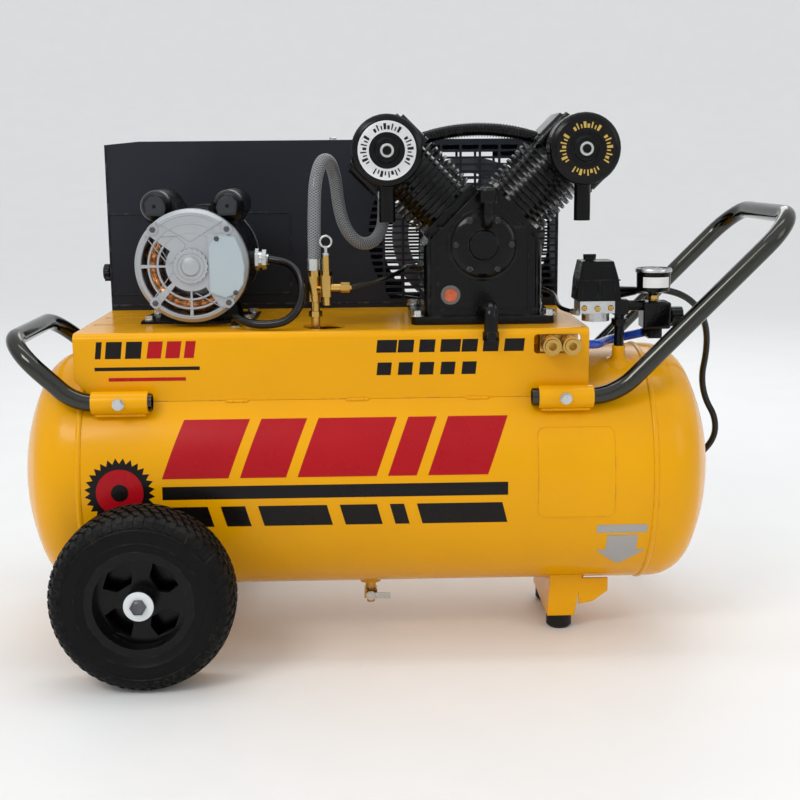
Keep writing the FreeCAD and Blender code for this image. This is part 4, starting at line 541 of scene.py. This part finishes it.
POWER_ROUTE = [
    (0.345, -0.048, 0.507), (0.374, -0.036, 0.508), (0.404, -0.030, 0.504),
    (0.432, -0.018, 0.492), (0.456, 0.000, 0.470), (0.472, 0.022, 0.438),
    (0.478, 0.044, 0.400), (0.476, 0.062, 0.360), (0.486, 0.074, 0.322),
    (0.506, 0.080, 0.290), (0.508, 0.088, 0.254), (0.484, 0.098, 0.222),
    (0.462, 0.108, 0.186), (0.450, 0.122, 0.146), (0.440, 0.144, 0.106),
    (0.426, 0.172, 0.066), (0.404, 0.204, 0.030), (0.372, 0.236, 0.008),
    (0.330, 0.262, 0.005),
]
COIL_CENTRE = (0.290, 0.337)
COIL_RADIUS = 0.0655
COIL_PITCH = 0.0103
PLUG_START = (0.373, 0.328)


def power_route():
    """The run down from the switch, flat turns that wind inwards, and a hump out to the plug."""
    points = list(POWER_ROUTE)
    cx, cy = COIL_CENTRE
    per_turn = 24
    turns = 2.5
    for i in range(int(per_turn * turns) + 1):
        share = i / per_turn
        a = -pi / 2 - 2 * pi * share
        r = COIL_RADIUS - COIL_PITCH * share
        points.append((cx + r * cos(a), cy + r * sin(a), 0.005))
    for a, r, z in ((76, 0.0430, 0.009), (62, 0.0490, 0.0150), (46, 0.0590, 0.0155),
                    (31, 0.0690, 0.0155), (18, 0.0790, 0.0150)):
        points.append((cx + r * cos(radians(a)), cy + r * sin(radians(a)), z))
    x, y = PLUG_START
    points += [(x, y + 0.018, 0.013), (x, y + 0.004, 0.012), (x, y - 0.006, 0.012)]
    return points


def cords():
    """The hoses, the tube and the cords, each a curve over its CAD route."""
    hose = route_curve("discharge_hose_wall", DISCHARGE_ROUTE, 0.018, "clear",
                       ["discharge_hose"])
    blue = route_curve("blue_hose_wall", BLUE_ROUTE, 0.013, "blue", ["blue_hose"])
    lead = route_curve("motor_cord_jacket", MOTOR_CORD_ROUTE, 0.012, "jacket",
                       ["motor_cord"])
    thin = route_curve("unloader_tube_wall", UNLOADER_ROUTE, 0.0064, "jacket",
                       ["unloader_tube"])
    flex = route_curve("power_cord", power_route(), 0.010, "jacket",
                       ["power_cord_run", "power_cord_coil"])
    plug = power_plug()


def squared(value):
    """A sine or cosine pushed outwards, which turns a circle into a rounded square."""
    return copysign(abs(value) ** 0.55, value)


def power_plug():
    """A moulded plug: a waisted body, grip ribs, a tapered tail, two blades and an earth pin."""
    x, y = PLUG_START[0] * 1000, PLUG_START[1] * 1000
    bm = bmesh.new()
    rings = []
    for along, half_x, half_z in ((-36, 12.4, 11.4), (-30, 12.8, 11.8), (-18, 12.8, 11.8),
                                  (-8, 9.6, 9.2), (-2, 7.6, 7.4)):
        rings.append([bm.verts.new(mm(x + half_x * squared(cos(a)), y + along,
                                      12 + half_z * squared(sin(a)))) for a in angles(32, 0.5)])
    skin(bm, rings)
    bm.faces.new(rings[0])
    bm.faces.new(rings[-1])
    for k in range(4):
        lathe(bm, [(9.4 - k * 0.5, -0.9), (11.6 - k * 1.1, 0), (9.4 - k * 0.5, 0.9)],
              (x, y - 14 + 3.6 * k, 12), (0, 1, 0), 32)
    body = piece("plug_body", bm, "jacket", stands_for=["power_plug"])
    bm = bmesh.new()
    for s in (-1, 1):
        block(bm, x + s * 6.75 - 0.75, x + s * 6.75 + 0.75, y - 53, y - 35, 12, 18)
    lathe(bm, [(0, 0), (1.6, 0), (2.4, 1.5), (2.4, 18)], (x, y - 53, 6), (0, 1, 0), 20)
    blades = piece("plug_blades", bm, "brass")
    blades.parent = body
    return body


# ---- Printed shapes ----


def on_tank(x, angle, lift=0.25):
    """A point just off the near side of the tank; angle is in degrees above its middle height."""
    r = TANK_RADIUS + lift
    return mm(x, -r * cos(radians(angle)), TANK_AXIS_Z + r * sin(radians(angle)))


def tank_print(bm, x0, x1, a0, a1, slant=0.0, columns=10, rows=14):
    """A four sided print wrapped on the tank, leaning by slant millimetres at its top."""
    grid = []
    for j in range(rows + 1):
        v = j / rows
        grid.append([bm.verts.new(on_tank(x0 + (x1 - x0) * i / columns + slant * v,
                                          a0 + (a1 - a0) * v)) for i in range(columns + 1)])
    skin(bm, grid, around=False)


def prints():
    """Plain bars, discs and an arrow in place of the lettering."""
    bm = bmesh.new()
    x = PRINT_LEFT
    for width, gap in ((92, 16), (64, 16), (110, 16), (40, 16), (84, 0)):
        tank_print(bm, x, x + width, 7, 34, 30)
        x += width + gap
    piece("tank_stripes_red", bm, "red_ink")
    bm = bmesh.new()
    tank_print(bm, PRINT_LEFT, 146, -2.5, 3.5, 0, 40, 4)
    x = PRINT_LEFT
    for width in (70, 34, 96, 52, 20, 120):
        tank_print(bm, x, x + width, -16, -6, -8)
        x += width + 18
    piece("tank_stripes_black", bm, "black_ink")
    badge()
    arrow_label()
    skirt_prints()


def badge():
    """A toothed disc, a red disc and a dark middle, half behind the wheel."""
    for name, finish_name, lift, outline in (
            ("badge_teeth", "black_ink", 0.25, (41, 49)),
            ("badge_ring", "red_ink", 0.45, (33, 33)),
            ("badge_middle", "black_ink", 0.65, (12, 12))):
        bm = bmesh.new()
        rings = []
        for share in (0.25, 0.5, 0.75, 1.0):
            ring = []
            for i, a in enumerate(angles(BADGE_POINTS)):
                reach = share * outline[i % 2]
                ring.append(bm.verts.new(on_tank(
                    BADGE_X + reach * cos(a),
                    BADGE_ANGLE + degrees(reach * sin(a) / TANK_RADIUS), lift)))
            rings.append(ring)
        skin(bm, rings)
        centre = bm.verts.new(on_tank(BADGE_X, BADGE_ANGLE, lift))
        for near, far in zip(rings[0], rings[0][1:] + rings[0][:1]):
            bm.faces.new((centre, near, far))
        piece(name, bm, finish_name)


def arrow_label():
    """A plain bar over a downward arrow."""
    bm = bmesh.new()
    tank_print(bm, 274, 346, -23, -18.5, 0, 8, 3)
    rows = [(-24.5, 22), (-34, 22), (-34.01, 36), (-45, 3)]
    for (a1, w1), (a0, w0) in zip(rows, rows[1:]):
        steps = 6
        grid = []
        for j in range(steps + 1):
            v = j / steps
            w, a = w0 + (w1 - w0) * v, a0 + (a1 - a0) * v
            grid.append([bm.verts.new(on_tank(312 + w * (i / 4 - 1), a)) for i in range(9)])
        skin(bm, grid, around=False)
    piece("arrow_label", bm, "grey_ink")


def skirt_print(bm, x0, x1, z0, z1, slant=0.0):
    """A four sided print just off the saddle's near skirt."""
    y = -(SKIRT_Y + 0.25)
    corners = [(x0, z0), (x1, z0), (x1 + slant, z1), (x0 + slant, z1)]
    bm.faces.new([bm.verts.new(mm(x, y, z)) for x, z in corners])


def skirt_prints():
    """Rows of plain blocks on the near skirt."""
    bm = bmesh.new()
    for x0, x1 in ((-430, -422), (-416, -394), (-388, -366)):
        skirt_print(bm, x0, x1, 428, 452, 3)
    skirt_print(bm, -431, -284, 411, 416)
    for k in range(7):
        skirt_print(bm, -36 + 30 * k, -14 + 30 * k + (6 if k % 3 == 0 else 0), 432, 450, 2)
    for k in range(5):
        skirt_print(bm, -36 + 30 * k, -16 + 30 * k, 400, 418, 2)
    piece("skirt_prints_black", bm, "black_ink")
    bm = bmesh.new()
    for x0, x1 in ((-358, -338), (-332, -312), (-306, -292)):
        skirt_print(bm, x0, x1, 428, 452, 4)
    skirt_print(bm, -412, -304, 396, 401)
    piece("skirt_prints_red", bm, "red_ink")


# ---- Wheels ----


def tyre(name, body, side):
    """A carcass with ringed walls, five rows of tread blocks and shoulder lugs."""
    base = (WHEEL_X, side * WHEEL_Y, WHEEL_Z)
    wall = [(70, 32), (73, 32), (73, 36), (79, 38.6), (84, 40), (85, 41), (86.2, 40.3), (95, 41.2),
            (102, 40.6), (103, 41.5), (104.2, 40.2), (110, 38.8), (115, 35), (118, 30), (119.8, 22),
            (120.2, 8)]
    profile = [(r, -h) for r, h in wall] + [(r, h) for r, h in reversed(wall)]
    bm = bmesh.new()
    lathe(bm, profile, base, (0, 1, 0), 96)
    count = 52
    step = 2 * pi / count
    rows = [(-29.5, -19.5, 0, 0.34, 4.3), (-17.5, -7.5, 0.5, 0.36, 4.7), (-5, 5, 0, 0.38, 4.8),
            (7.5, 17.5, 0.5, 0.36, 4.7), (19.5, 29.5, 0, 0.34, 4.3)]
    for y0, y1, shift, half, tall in rows:
        for i in range(count):
            a = (i + shift) * step
            skew = 0.16 * step * (1 if y0 < 0 else -1)
            corners = []
            for r, shrink in ((117, 1.0), (120.2 + tall, 0.86)):
                for y, s, k in ((y0, -1, 1), (y1, -1, -1), (y1, 1, -1), (y0, 1, 1)):
                    t = a + s * half * step * shrink + skew * k
                    drop = 3.2 * (abs(y) / 29.5) ** 4
                    mid = (y0 + y1) / 2
                    corners.append(bm.verts.new(mm(
                        base[0] + (r - drop) * sin(t), base[1] + mid + (y - mid) * shrink,
                        base[2] + (r - drop) * cos(t))))
            low, high = corners[:4], corners[4:]
            bm.faces.new(high)
            skin(bm, [low, high])
    for s in (-1, 1):
        for i in range(count):
            a = (i + 0.5) * step
            points = [(r, y, a + e * half * step)
                      for r, y, half in ((120.5, 29, 0.3), (115.5, 37, 0.3), (107, 40.9, 0.2))
                      for e in (-1, 1)]
            outer, inner = [[bm.verts.new(mm(base[0] + (r - deep) * sin(t),
                                             base[1] + s * (y - deep),
                                             base[2] + (r - deep) * cos(t)))
                             for r, y, t in points] for deep in (0, 3)]
            for k in (0, 2):
                bm.faces.new((outer[k], outer[k + 1], outer[k + 3], outer[k + 2]))
                for e in (0, 1):
                    bm.faces.new((outer[k + e], outer[k + 2 + e], inner[k + 2 + e], inner[k + e]))
            bm.faces.new((outer[0], outer[1], inner[1], inner[0]))
            bm.faces.new((outer[4], outer[5], inner[5], inner[4]))
    piece(name, bm, "tyre", body, split=30, stands_for=[f"{body}_tyre"])


def axle_ends():
    """A pale washer, a dark nut and the stud's end on each side."""
    for side, label in ((-1, "near"), (1, "far")):
        bm = bmesh.new()
        lathe(bm, [(8.2, WASHER_INNER), (19, WASHER_INNER), (20, WASHER_INNER + 0.6),
                   (20, WASHER_OUTER - 0.6), (19, WASHER_OUTER), (8.2, WASHER_OUTER)],
              (WHEEL_X, 0, WHEEL_Z), (0, side, 0), 48, closed=True)
        washer = piece(f"{label}_axle_washer", bm, "pale")
        if side < 0:
            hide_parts("axle_fasteners")
        bm = bmesh.new()
        hex_head(bm, (WHEEL_X, side * WASHER_OUTER, WHEEL_Z), (0, side, 0), 19, 6.4)
        lathe(bm, [(8, 0), (8, 310.2), (7, 311), (0, 311)], (WHEEL_X, side * 0.5, WHEEL_Z),
              (0, side, 0), 24)
        piece(f"{label}_axle_nut", bm, "screw_steel")


# ---- Motor ----


def motor_line(bm, start, end, width):
    """A raised casting line on the front bell, between points in millimetres from its axis."""
    run = Vector((end[0] - start[0], end[1] - start[1]))
    side = Vector((-run.y, run.x)).normalized() * width / 2
    for share, proud in ((1.0, 0.0), (0.5, 1.0)):
        corners = [(start[0] + side.x * share * a, start[1] + side.y * share * a) for a in (1, -1)]
        corners += [(end[0] + side.x * share * a, end[1] + side.y * share * a) for a in (-1, 1)]
        prism(bm, corners, lambda u, v: mm(MOTOR[0] + u, MOTOR_FACE + 1.5, MOTOR[1] + v),
              lambda u, v, y=MOTOR_FACE - proud: mm(MOTOR[0] + u, y, MOTOR[1] + v))


def motor_windings():
    """The copper end turns that show through the front bell."""
    mx, mz = MOTOR
    bm = bmesh.new()
    rings = []
    for b in angles(14):
        ring = []
        for a in angles(144):
            swell = 1 + 0.12 * sin(a * 18) + 0.05 * sin(a * 7)
            r = 58 + 12.5 * swell * cos(b)
            ring.append(bm.verts.new(mm(mx + r * cos(a), -48 + 14 * swell * sin(b), mz + r * sin(a))))
        rings.append(ring)
    skin(bm, rings + rings[:1])
    piece("motor_windings", bm, "copper", split=80)


def front_bell_ribs():
    """The studded hub, the casting lines and the rings on the front bell."""
    mx, mz = MOTOR
    bm = bmesh.new()
    for a in angles(20):
        lathe(bm, [(0, 0), (2.1, 0.6), (2.6, 1.5), (2.6, 6)],
              (mx + 23.2 * cos(a), MOTOR_HUB_FACE - 0.2, mz + 23.2 * sin(a)), (0, 1, 0), 12)
    for profile in ([(13.5, -1.2), (14.5, -0.6), (14.5, 1)],
                    [(0, -1.6), (12, -1.6), (13, -1.0), (13, 1)],
                    [(18.4, 0.5), (18.8, -0.9), (19.6, -0.9), (20, 0.5)]):
        lathe(bm, profile, (mx, MOTOR_HUB_FACE, mz), (0, 1, 0), 40)
    for start, end in (((0, 35), (-49, 63)), ((0, 35), (47, 64)), ((-64, 44), (-31, 1)),
                       ((-27, -9), (-55, -46)), ((5, -38), (47, -62))):
        motor_line(bm, start, end, 1.5)
    outline = [(-48, 36), (-42, 42), (-20, 43), (-7, 31), (-9, 25), (-21, 13), (-29, 3), (-48, 36)]
    for start, end in zip(outline, outline[1:]):
        motor_line(bm, start, end, 1.0)
    for r in (47.5, 60.5, 72.5):
        lathe(bm, [(r - 1.2, 1.0), (r - 0.8, -0.9), (r + 0.8, -0.9), (r + 1.2, 1.0)],
              (mx, MOTOR_FACE + 0.6, mz), (0, 1, 0), 96)
    piece("front_bell_ribs", bm, "cast", split=32)


def terminal_cover():
    """A bevelled plate over the motor's terminals."""
    mx, mz = MOTOR
    bm = bmesh.new()
    outline = [(26, -38), (48, -46), (66, -39), (75, -25), (77, 0), (73, 20), (64, 42), (39, 42.5),
               (31, 36), (26, 28)]
    prism(bm, outline, lambda u, v: mm(mx + u, -74, mz + v), lambda u, v: mm(mx + u, -80.6, mz + v))
    soften(bm, 0.0012, 3)
    piece("terminal_cover", bm, "cover")


def front_bell_screws():
    """Two screws in the terminal cover and four in the bell's rim."""
    mx, mz = MOTOR
    bm = bmesh.new()
    for u, v in ((38, 39), (63, -38)):
        screw(bm, (mx + u, -80.4, mz + v), (0, -1, 0), 3.6, 2.4)
    for a in (45, 135, 225, 315):
        u, v = 74 * cos(radians(a)), 74 * sin(radians(a))
        hex_head(bm, (mx + u, -76.6, mz + v), (0, -1, 0), 7.5, 3.6)
    piece("front_bell_screws", bm, "screw_steel")


# ---- Guard ----


def capacitor_faces():
    """A flat moulded face on the front of each capacitor cover, coloured lighter than the cover as a
    painted highlight.
    """
    for side, label in ((-1, "left"), (1, "right")):
        bm = bmesh.new()
        x, z = MOTOR[0] + side * CAPACITOR_OFFSET[0], MOTOR[1] + CAPACITOR_OFFSET[1]
        outline = [(-12, -13), (13, -14), (16, -2), (12, 9), (3, 15), (-6, 14), (-14, 5)]
        outline = [(-side * u, v) for u, v in outline]
        if side < 0:
            outline.reverse()
        inner = [(u * 0.84, v * 0.84) for u, v in outline]
        front = CAPACITOR_FACE
        prism(bm, outline, lambda u, v: mm(x + u, front + 6, z + v),
              lambda u, v: mm(x + u, front + 0.8, z + v))
        prism(bm, inner, lambda u, v: mm(x + u, front + 6, z + v),
              lambda u, v: mm(x + u, front, z + v))
        soften(bm, 0.0006)
        piece(f"{label}_capacitor_face", bm, "cover_painted_highlight")


def guard_seams():
    """Pressed seams on the guard's front panel."""
    bm = bmesh.new()
    y = GUARD_PANEL_Y
    for x0, x1, z0, z1 in ((-459, -169, 616, 619), (-459, -169, 487, 490), (-171, -168, 487, 619),
                           (-459, 262, 470, 472.5), (-459, -457, 470, 724), (260, 262, 470, 729)):
        block(bm, x0, x1, y - 1.1, y + 0.4, z0, z1)
    soften(bm, 0.0004, clamp=False)
    piece("guard_seams", bm, "charcoal")


def guard_fixings():
    """The bolt and washer on the guard's top."""
    bm = bmesh.new()
    hex_head(bm, (-99, 205, 731), (0, 0, 1), 10, 5)
    lathe(bm, [(8, 0), (8, 1.2), (0, 1.2)], (-99, 205, 730.6), (0, 0, 1), 24)
    piece("guard_fixings", bm, "zinc")


def guard_knob():
    """The fluted knob on the guard's side."""
    x, y, z = GUARD_KNOB
    bm = bmesh.new()
    lathe(bm, [(5, 0), (5, 7), (11, 8), (12.5, 10), (12.5, 17), (11, 19), (0, 19)],
          (x, y, z), (-1, 0, 0), 30)
    for a in angles(10):
        lathe(bm, [(0, 8), (2, 8.4), (2, 17.6), (0, 18)],
              (x, y + 12.4 * cos(a), z + 12.4 * sin(a)), (-1, 0, 0), 10)
    piece("guard_knob", bm, "plastic")


# ---- Pump ----


def filter_fronts():
    """A printed ring, plain tick marks and a screw on each filter's cap, and flutes round it."""
    for side, ring_finish, tick_finish, label in ((-1, "silver_ink", "black_ink", "left"),
                                                  (1, "black_ink", "gold_ink", "right")):
        at = (PUMP[0] + side * FILTER_OFFSET, FILTER_Y, FILTER_Z)
        bm = bmesh.new()
        lathe(bm, [(25, 7.9), (26, 8.05), (39.5, 7.2), (40.5, 6.9)], at, (0, -1, 0), 72)
        piece(f"{label}_filter_ring", bm, ring_finish)
        bm = bmesh.new()
        for i in range(40):
            if i % 10 in (4, 5):
                continue
            a = 2 * pi * (i + 0.5) / 40
            half = 0.030 if i % 3 else 0.055
            inner, outer = 28.5, (37.0 if i % 2 else 34.0)
            corners = []
            for r, s in ((inner, -1), (inner, 1), (outer, 1), (outer, -1)):
                t = a + s * half
                height = 8.35 - (r - 26) * 0.063
                corners.append(bm.verts.new(mm(at[0] + r * sin(t), at[1] - height,
                                               at[2] + r * cos(t))))
            bm.faces.new(corners)
        piece(f"{label}_filter_ticks", bm, tick_finish)
        bm = bmesh.new()
        lathe(bm, [(9.5, 10.8), (9.5, 12), (7, 12.4), (6.4, 12.4)], at, (0, -1, 0), 32)
        screw(bm, (at[0], -120.6, at[2]), (0, -1, 0), 6.2, 3.2)
        piece(f"{label}_filter_screw", bm, "zinc")
        bm = bmesh.new()
        for a in angles(32):
            lathe(bm, [(0, 2), (1.1, 3), (1.1, 36), (0, 37)],
                  (at[0] + 49.2 * cos(a), at[1], at[2] + 49.2 * sin(a)), (0, 1, 0), 8)
        piece(f"{label}_filter_flutes", bm, "plastic")


def lean(side, x, y, z):
    """A place given upright over the crank, tipped onto the left or right cylinder."""
    c = sqrt(0.5)
    return (PUMP[0] + side * (z * c - x * c), y, PUMP[1] + z * c + x * c)


def crankcase_ribs():
    """Raised casting lines and a ring on the crankcase."""
    bm = bmesh.new()
    px, pz = PUMP
    for x in (-78, -66, 66, 78):
        block(bm, px + x - 1.6, px + x + 1.6, -67.2, -64, 480, 592)
    for z, half in ((484, 82), (602, 64)):
        block(bm, px - half, px + half, -67.0, -64, z - 1.6, z + 1.6)
    for s in (-1, 1):
        for z in (500, 522, 544, 566):
            block(bm, px + s * 82, px + s * 88.5, -48, 68, z - 2, z + 2)
    lathe(bm, [(52, 0), (52, 2.6), (49, 3.4), (47, 3.4), (46.4, 0)], (px, -65, pz), (0, -1, 0), 64)
    piece("crankcase_ribs", bm, "iron", split=40)


def pump_bolts():
    """Bolts round the cylinders' flanges and heads and in the front bearing cover."""
    px, pz = PUMP
    bm = bmesh.new()
    for side in (-1, 1):
        axis = (side * sqrt(0.5), 0, sqrt(0.5))
        for x in (-42, 42):
            for y in (-32, 52):
                hex_head(bm, lean(side, x, y, 71), axis, 11, 7)
        for x in (-49, 39):
            for y in (-35, 10, 53):
                hex_head(bm, lean(side, x, y, 211), axis, 12.4, 7.6)
    for a in angles(6):
        hex_head(bm, (px + 40 * cos(a), -70, pz + 40 * sin(a)), (0, -1, 0), 9, 5.6)
    piece("pump_bolts", bm, "zinc_dark")


def crossover_fins():
    """Thin fins along the arc of the pipe between the heads, read from its CAD node."""
    px = PUMP[0]
    bm = bmesh.new()
    node = bpy.data.objects["crossover_pipe"]
    corners = [node.matrix_world @ v.co for v in node.data.vertices]
    half = max(v.x for v in corners) - px / 1000 - 0.012
    low, high = (sum(v.z for v in group) / len(group) for group in (
        [v for v in corners if abs(abs(v.x - px / 1000) - half) < 0.012],
        [v for v in corners if abs(v.x - px / 1000) < 0.012]))
    middle_y = sum(v.y for v in corners) / len(corners)
    radius = (half ** 2 + (high - low) ** 2) / (2 * (high - low))
    reach = half / radius
    for i in range(FIN_COUNT):
        a = reach * (2 * i / (FIN_COUNT - 1) - 1) * 0.94
        base = (px + 1000 * radius * sin(a), 1000 * middle_y, 1000 * (high - radius * (1 - cos(a))))
        lathe(bm, [(8.4, -1.2), (10.4, -0.5), (10.4, 0.5), (8.4, 1.2)], base,
              (cos(a), 0, -sin(a)), 24)
    piece("crossover_fins", bm, "iron")


def sight_glass():
    """A clear bezel round the sight glass."""
    low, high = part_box("sight_glass")
    middle = (low + high) * 500
    at = (middle.x, low.y * 1000, middle.z)
    bm = bmesh.new()
    lathe(bm, [(9.2, 0.2), (9.6, -0.5), (13.6, -0.5), (14.6, 0.8), (14.8, 6)], at, (0, 1, 0), 40)
    piece("sight_glass_bezel", bm, "bezel")


# ---- Switch and gauge ----


def hood_front(x, z, proud):
    """A point on the tapered front of the switch's hood."""
    y = -104 + (z - 498) * 0.1 if z < 528 else -101 + (z - 528) * 5 / 26
    return mm(x, y - proud, z)


def switch_panels():
    """Two raised panels that follow the bend in the hood's front."""
    bm = bmesh.new()
    for x0, x1 in ((259, 280), (286, 306)):
        grid = []
        for z in (503, 514, 527.9, 528.1, 538, 547):
            right = x1 - (3.0 if z > 528 else 0.0)
            grid.append([bm.verts.new(hood_front(x, z, 1.1)) for x in (x0, x0 + 6, right - 6, right)])
        skin(bm, grid, around=False)
    bmesh.ops.recalc_face_normals(bm, faces=bm.faces)
    made = bmesh.ops.extrude_face_region(bm, geom=list(bm.faces))
    for v in [g for g in made["geom"] if isinstance(g, bmesh.types.BMVert)]:
        v.co.y += 0.002
    piece("switch_panels", bm, "plastic")


def switch_ridges():
    """Ridges across the hood and between its panels."""
    bm = bmesh.new()
    for z, g in ((500, 0.6), (527.9, 0.3)):
        block(bm, 252.2 + g, 313.6 - g * 4, -104.9 + g * 3, -100, z - 0.9, z + 0.9)
    block(bm, 281.6, 284.4, -104.4, -99, 500, 527)
    piece("switch_ridges", bm, "plastic")


def switch_terminals():
    """Two screws and a hexagon head under the hood."""
    bm = bmesh.new()
    for x, z in ((262, 488), (300, 488)):
        screw(bm, (x, -99.8, z), (0, -1, 0), 4.2, 2.6)
    hex_head(bm, (281, -99.6, 487), (0, -1, 0), 8, 4.5)
    piece("switch_terminals", bm, "brass")


def gauge_top():
    """The middle of the gauge's top."""
    return (*GAUGE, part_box("gauge_case")[1].z * 1000)


def gauge_dial():
    """A white dial with plain ticks over three quarters of a turn."""
    x, y, z = gauge_top()
    r = GAUGE_RADIUS
    bm = bmesh.new()
    lathe(bm, [(2.3, 0.15), (r - 4.2, 0.15)], (x, y, z - 6), (0, 0, 1), 64)
    piece("gauge_dial", bm, "white")
    bm = bmesh.new()
    for i in range(31):
        a = radians(225 - 270 * i / 30)
        inner, half = (15.5, 0.35) if i % 5 == 0 else (18.0, 0.18)
        c, s = cos(a), sin(a)
        corners = [(inner, -half), (20.5, -half), (20.5, half), (inner, half)]
        bm.faces.new([bm.verts.new(mm(x + u * c - v * s, y + u * s + v * c, z - 5.75))
                      for u, v in corners])
    piece("gauge_ticks", bm, "black_ink")


def gauge_window():
    """The bezel and the lens."""
    at = gauge_top()
    r = GAUGE_RADIUS
    bm = bmesh.new()
    lathe(bm, [(r - 4, -6), (r - 4, -0.4), (r - 2.6, 0), (r - 0.6, -0.5), (r + 0.2, -1.8),
               (r + 0.2, -5.2), (r - 1, -6.2)], at, (0, 0, 1), 72)
    piece("gauge_bezel", bm, "zinc")
    bm = bmesh.new()
    lathe(bm, [(0, -1.0), (r - 8, -1.15), (r - 3.9, -1.7), (r - 3.9, -2.4), (0, -2.4)], at,
          (0, 0, 1), 64)
    piece("gauge_lens", bm, "glass")


def gauge_body():
    """A blank label on the case's side, and the brass neck under it."""
    x, y, z = gauge_top()
    bm = bmesh.new()
    rows = []
    for h in (z - 27, z - 12):
        rows.append([bm.verts.new(mm(x + 24.9 * sin(radians(t)), y - 24.9 * cos(radians(t)), h))
                     for t in range(-48, 50, 6)])
    skin(bm, rows, around=False)
    piece("gauge_side_label", bm, "white")
    bm = bmesh.new()
    lathe(bm, [(6.2, 494.5), (7.4, 495), (7.4, 497)], (x, y, 0), (0, 0, 1), 32)
    hex_head(bm, (x, y, 497), (0, 0, 1), 15, 7)
    piece("gauge_neck", bm, "brass")


# ---- Welds and braid ----


def bead(bm, points, radius):
    """A rippled weld bead along a line of points in metres."""
    count = len(points)
    rings = []
    for i, p in enumerate(points):
        ahead = (points[min(i + 1, count - 1)] - points[max(i - 1, 0)]).normalized()
        turn = facing(ahead)
        ends = min(1.0, (min(i, count - 1 - i) + 0.4) / 2)
        r = radius * ends * (1 + 0.16 * sin(i * 2.1))
        rings.append([bm.verts.new(p + turn @ Vector((r * cos(a), r * sin(a), 0)))
                      for a in angles(10)])
    skin(bm, rings)
    bm.faces.new(rings[0])
    bm.faces.new(rings[-1])


def straight(start, end, pitch=1.6):
    """Evenly spaced points in metres between two places in millimetres."""
    start, end = mm(*start), mm(*end)
    count = max(4, int((end - start).length * 1000 / pitch))
    return [start.lerp(end, i / count) for i in range(count + 1)]


def welds():
    """Beads along the saddle, the brackets and the foot, and fillets round two bosses."""
    bm = bmesh.new()
    foot = TANK_AXIS_Z + sqrt(TANK_RADIUS ** 2 - SKIRT_Y ** 2)
    for side in (-1, 1):
        for x in (-420, -250, -80, 90, 215):
            bead(bm, straight((x, side * 130, foot - 0.5), (x + 34, side * 130, foot - 0.5)), 0.0026)
        for x0, x1 in ((-430, -357), (194, 265)):
            bead(bm, straight((x0, side * 134.0, 360.5), (x1, side * 134.0, 360.5)), 0.003)
            bead(bm, straight((x0, side * 151.5, 352.0), (x1, side * 151.5, 352.0)), 0.0026)
    for x in (221.5, 269.5):
        arc = []
        for i in range(70):
            y = -80 + 160 * i / 69
            arc.append(mm(x, y, TANK_AXIS_Z - sqrt(TANK_RADIUS ** 2 - y ** 2) - 0.6))
        bead(bm, arc, 0.0028)
    for x, y, neck, top in ((-122, -75, 16, 414), (318, -72, 9.5, 426)):
        flare(bm, x, y, neck, top)
    piece("weld_beads", bm, "yellow", split=60)


def flare(bm, x, y, neck, top):
    """A soft fillet between an upright boss and the tank."""
    rings = []
    for share in (0.0, 0.25, 0.5, 0.75, 1.0):
        r = neck + 0.2 + 8.5 * share ** 2.2
        ring = []
        for a in angles(40):
            px, py = x + r * cos(a), y + r * sin(a)
            ground = TANK_AXIS_Z + sqrt(TANK_RADIUS ** 2 - py ** 2)
            rise = min(10.0, top - ground) * (1 - share) ** 1.6
            ring.append(bm.verts.new(mm(px, py, ground + 0.3 + rise)))
        rings.append(ring)
    skin(bm, rings)


def bspline(points, samples):
    """Points along the quadratic spline with clamped ends that the hoses follow."""
    p = [Vector(q) for q in points]
    spans = len(p) - 2
    line = []
    for s in range(spans):
        a = p[0] if s == 0 else (p[s] + p[s + 1]) / 2
        c = p[-1] if s == spans - 1 else (p[s + 1] + p[s + 2]) / 2
        for i in range(samples):
            t = i / samples
            line.append(a * (1 - t) ** 2 + p[s + 1] * 2 * t * (1 - t) + c * t * t)
    return line + [p[-1]]


def braid():
    """Crossing strands laid round the clear hose."""
    line = bspline(DISCHARGE_ROUTE, 28)
    tangents = [(line[min(i + 1, len(line) - 1)] - line[max(i - 1, 0)]).normalized()
                for i in range(len(line))]
    normal = tangents[0].orthogonal().normalized()
    normals = [normal]
    for before, after in zip(tangents, tangents[1:]):
        normal = before.rotation_difference(after) @ normal
        normals.append((normal - after * normal.dot(after)).normalized())
    travelled = [0.0]
    for a, b in zip(line, line[1:]):
        travelled.append(travelled[-1] + (b - a).length)
    data = bpy.data.curves.new("hose_braid", "CURVE")
    data.dimensions = "3D"
    data.bevel_depth = 0.00034
    data.bevel_resolution = 1
    per_side = 9
    for hand in (-1, 1):
        for start in angles(per_side):
            spline = data.splines.new("POLY")
            spline.points.add(len(line) - 1)
            for i, place in enumerate(line):
                a = start + hand * travelled[i] / 0.034 * 2 * pi
                across = tangents[i].cross(normals[i])
                spline.points[i].co = (*(place + (normals[i] * cos(a) + across * sin(a)) * 0.0090), 1)
    data.materials.append(M["strand"])
    o = new_object("hose_braid", data)
    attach(o, ROOT)


camera()
studio()
cords()
dress_frame()
prints()
tyre("near_tyre", "near_wheel", -1)
tyre("far_tyre", "far_wheel", 1)
axle_ends()
motor_windings()
front_bell_ribs()
terminal_cover()
front_bell_screws()
capacitor_faces()
guard_seams()
guard_fixings()
guard_knob()
filter_fronts()
crankcase_ribs()
pump_bolts()
crossover_fins()
sight_glass()
switch_panels()
switch_ridges()
switch_terminals()
gauge_dial()
gauge_window()
gauge_body()
welds()
braid()
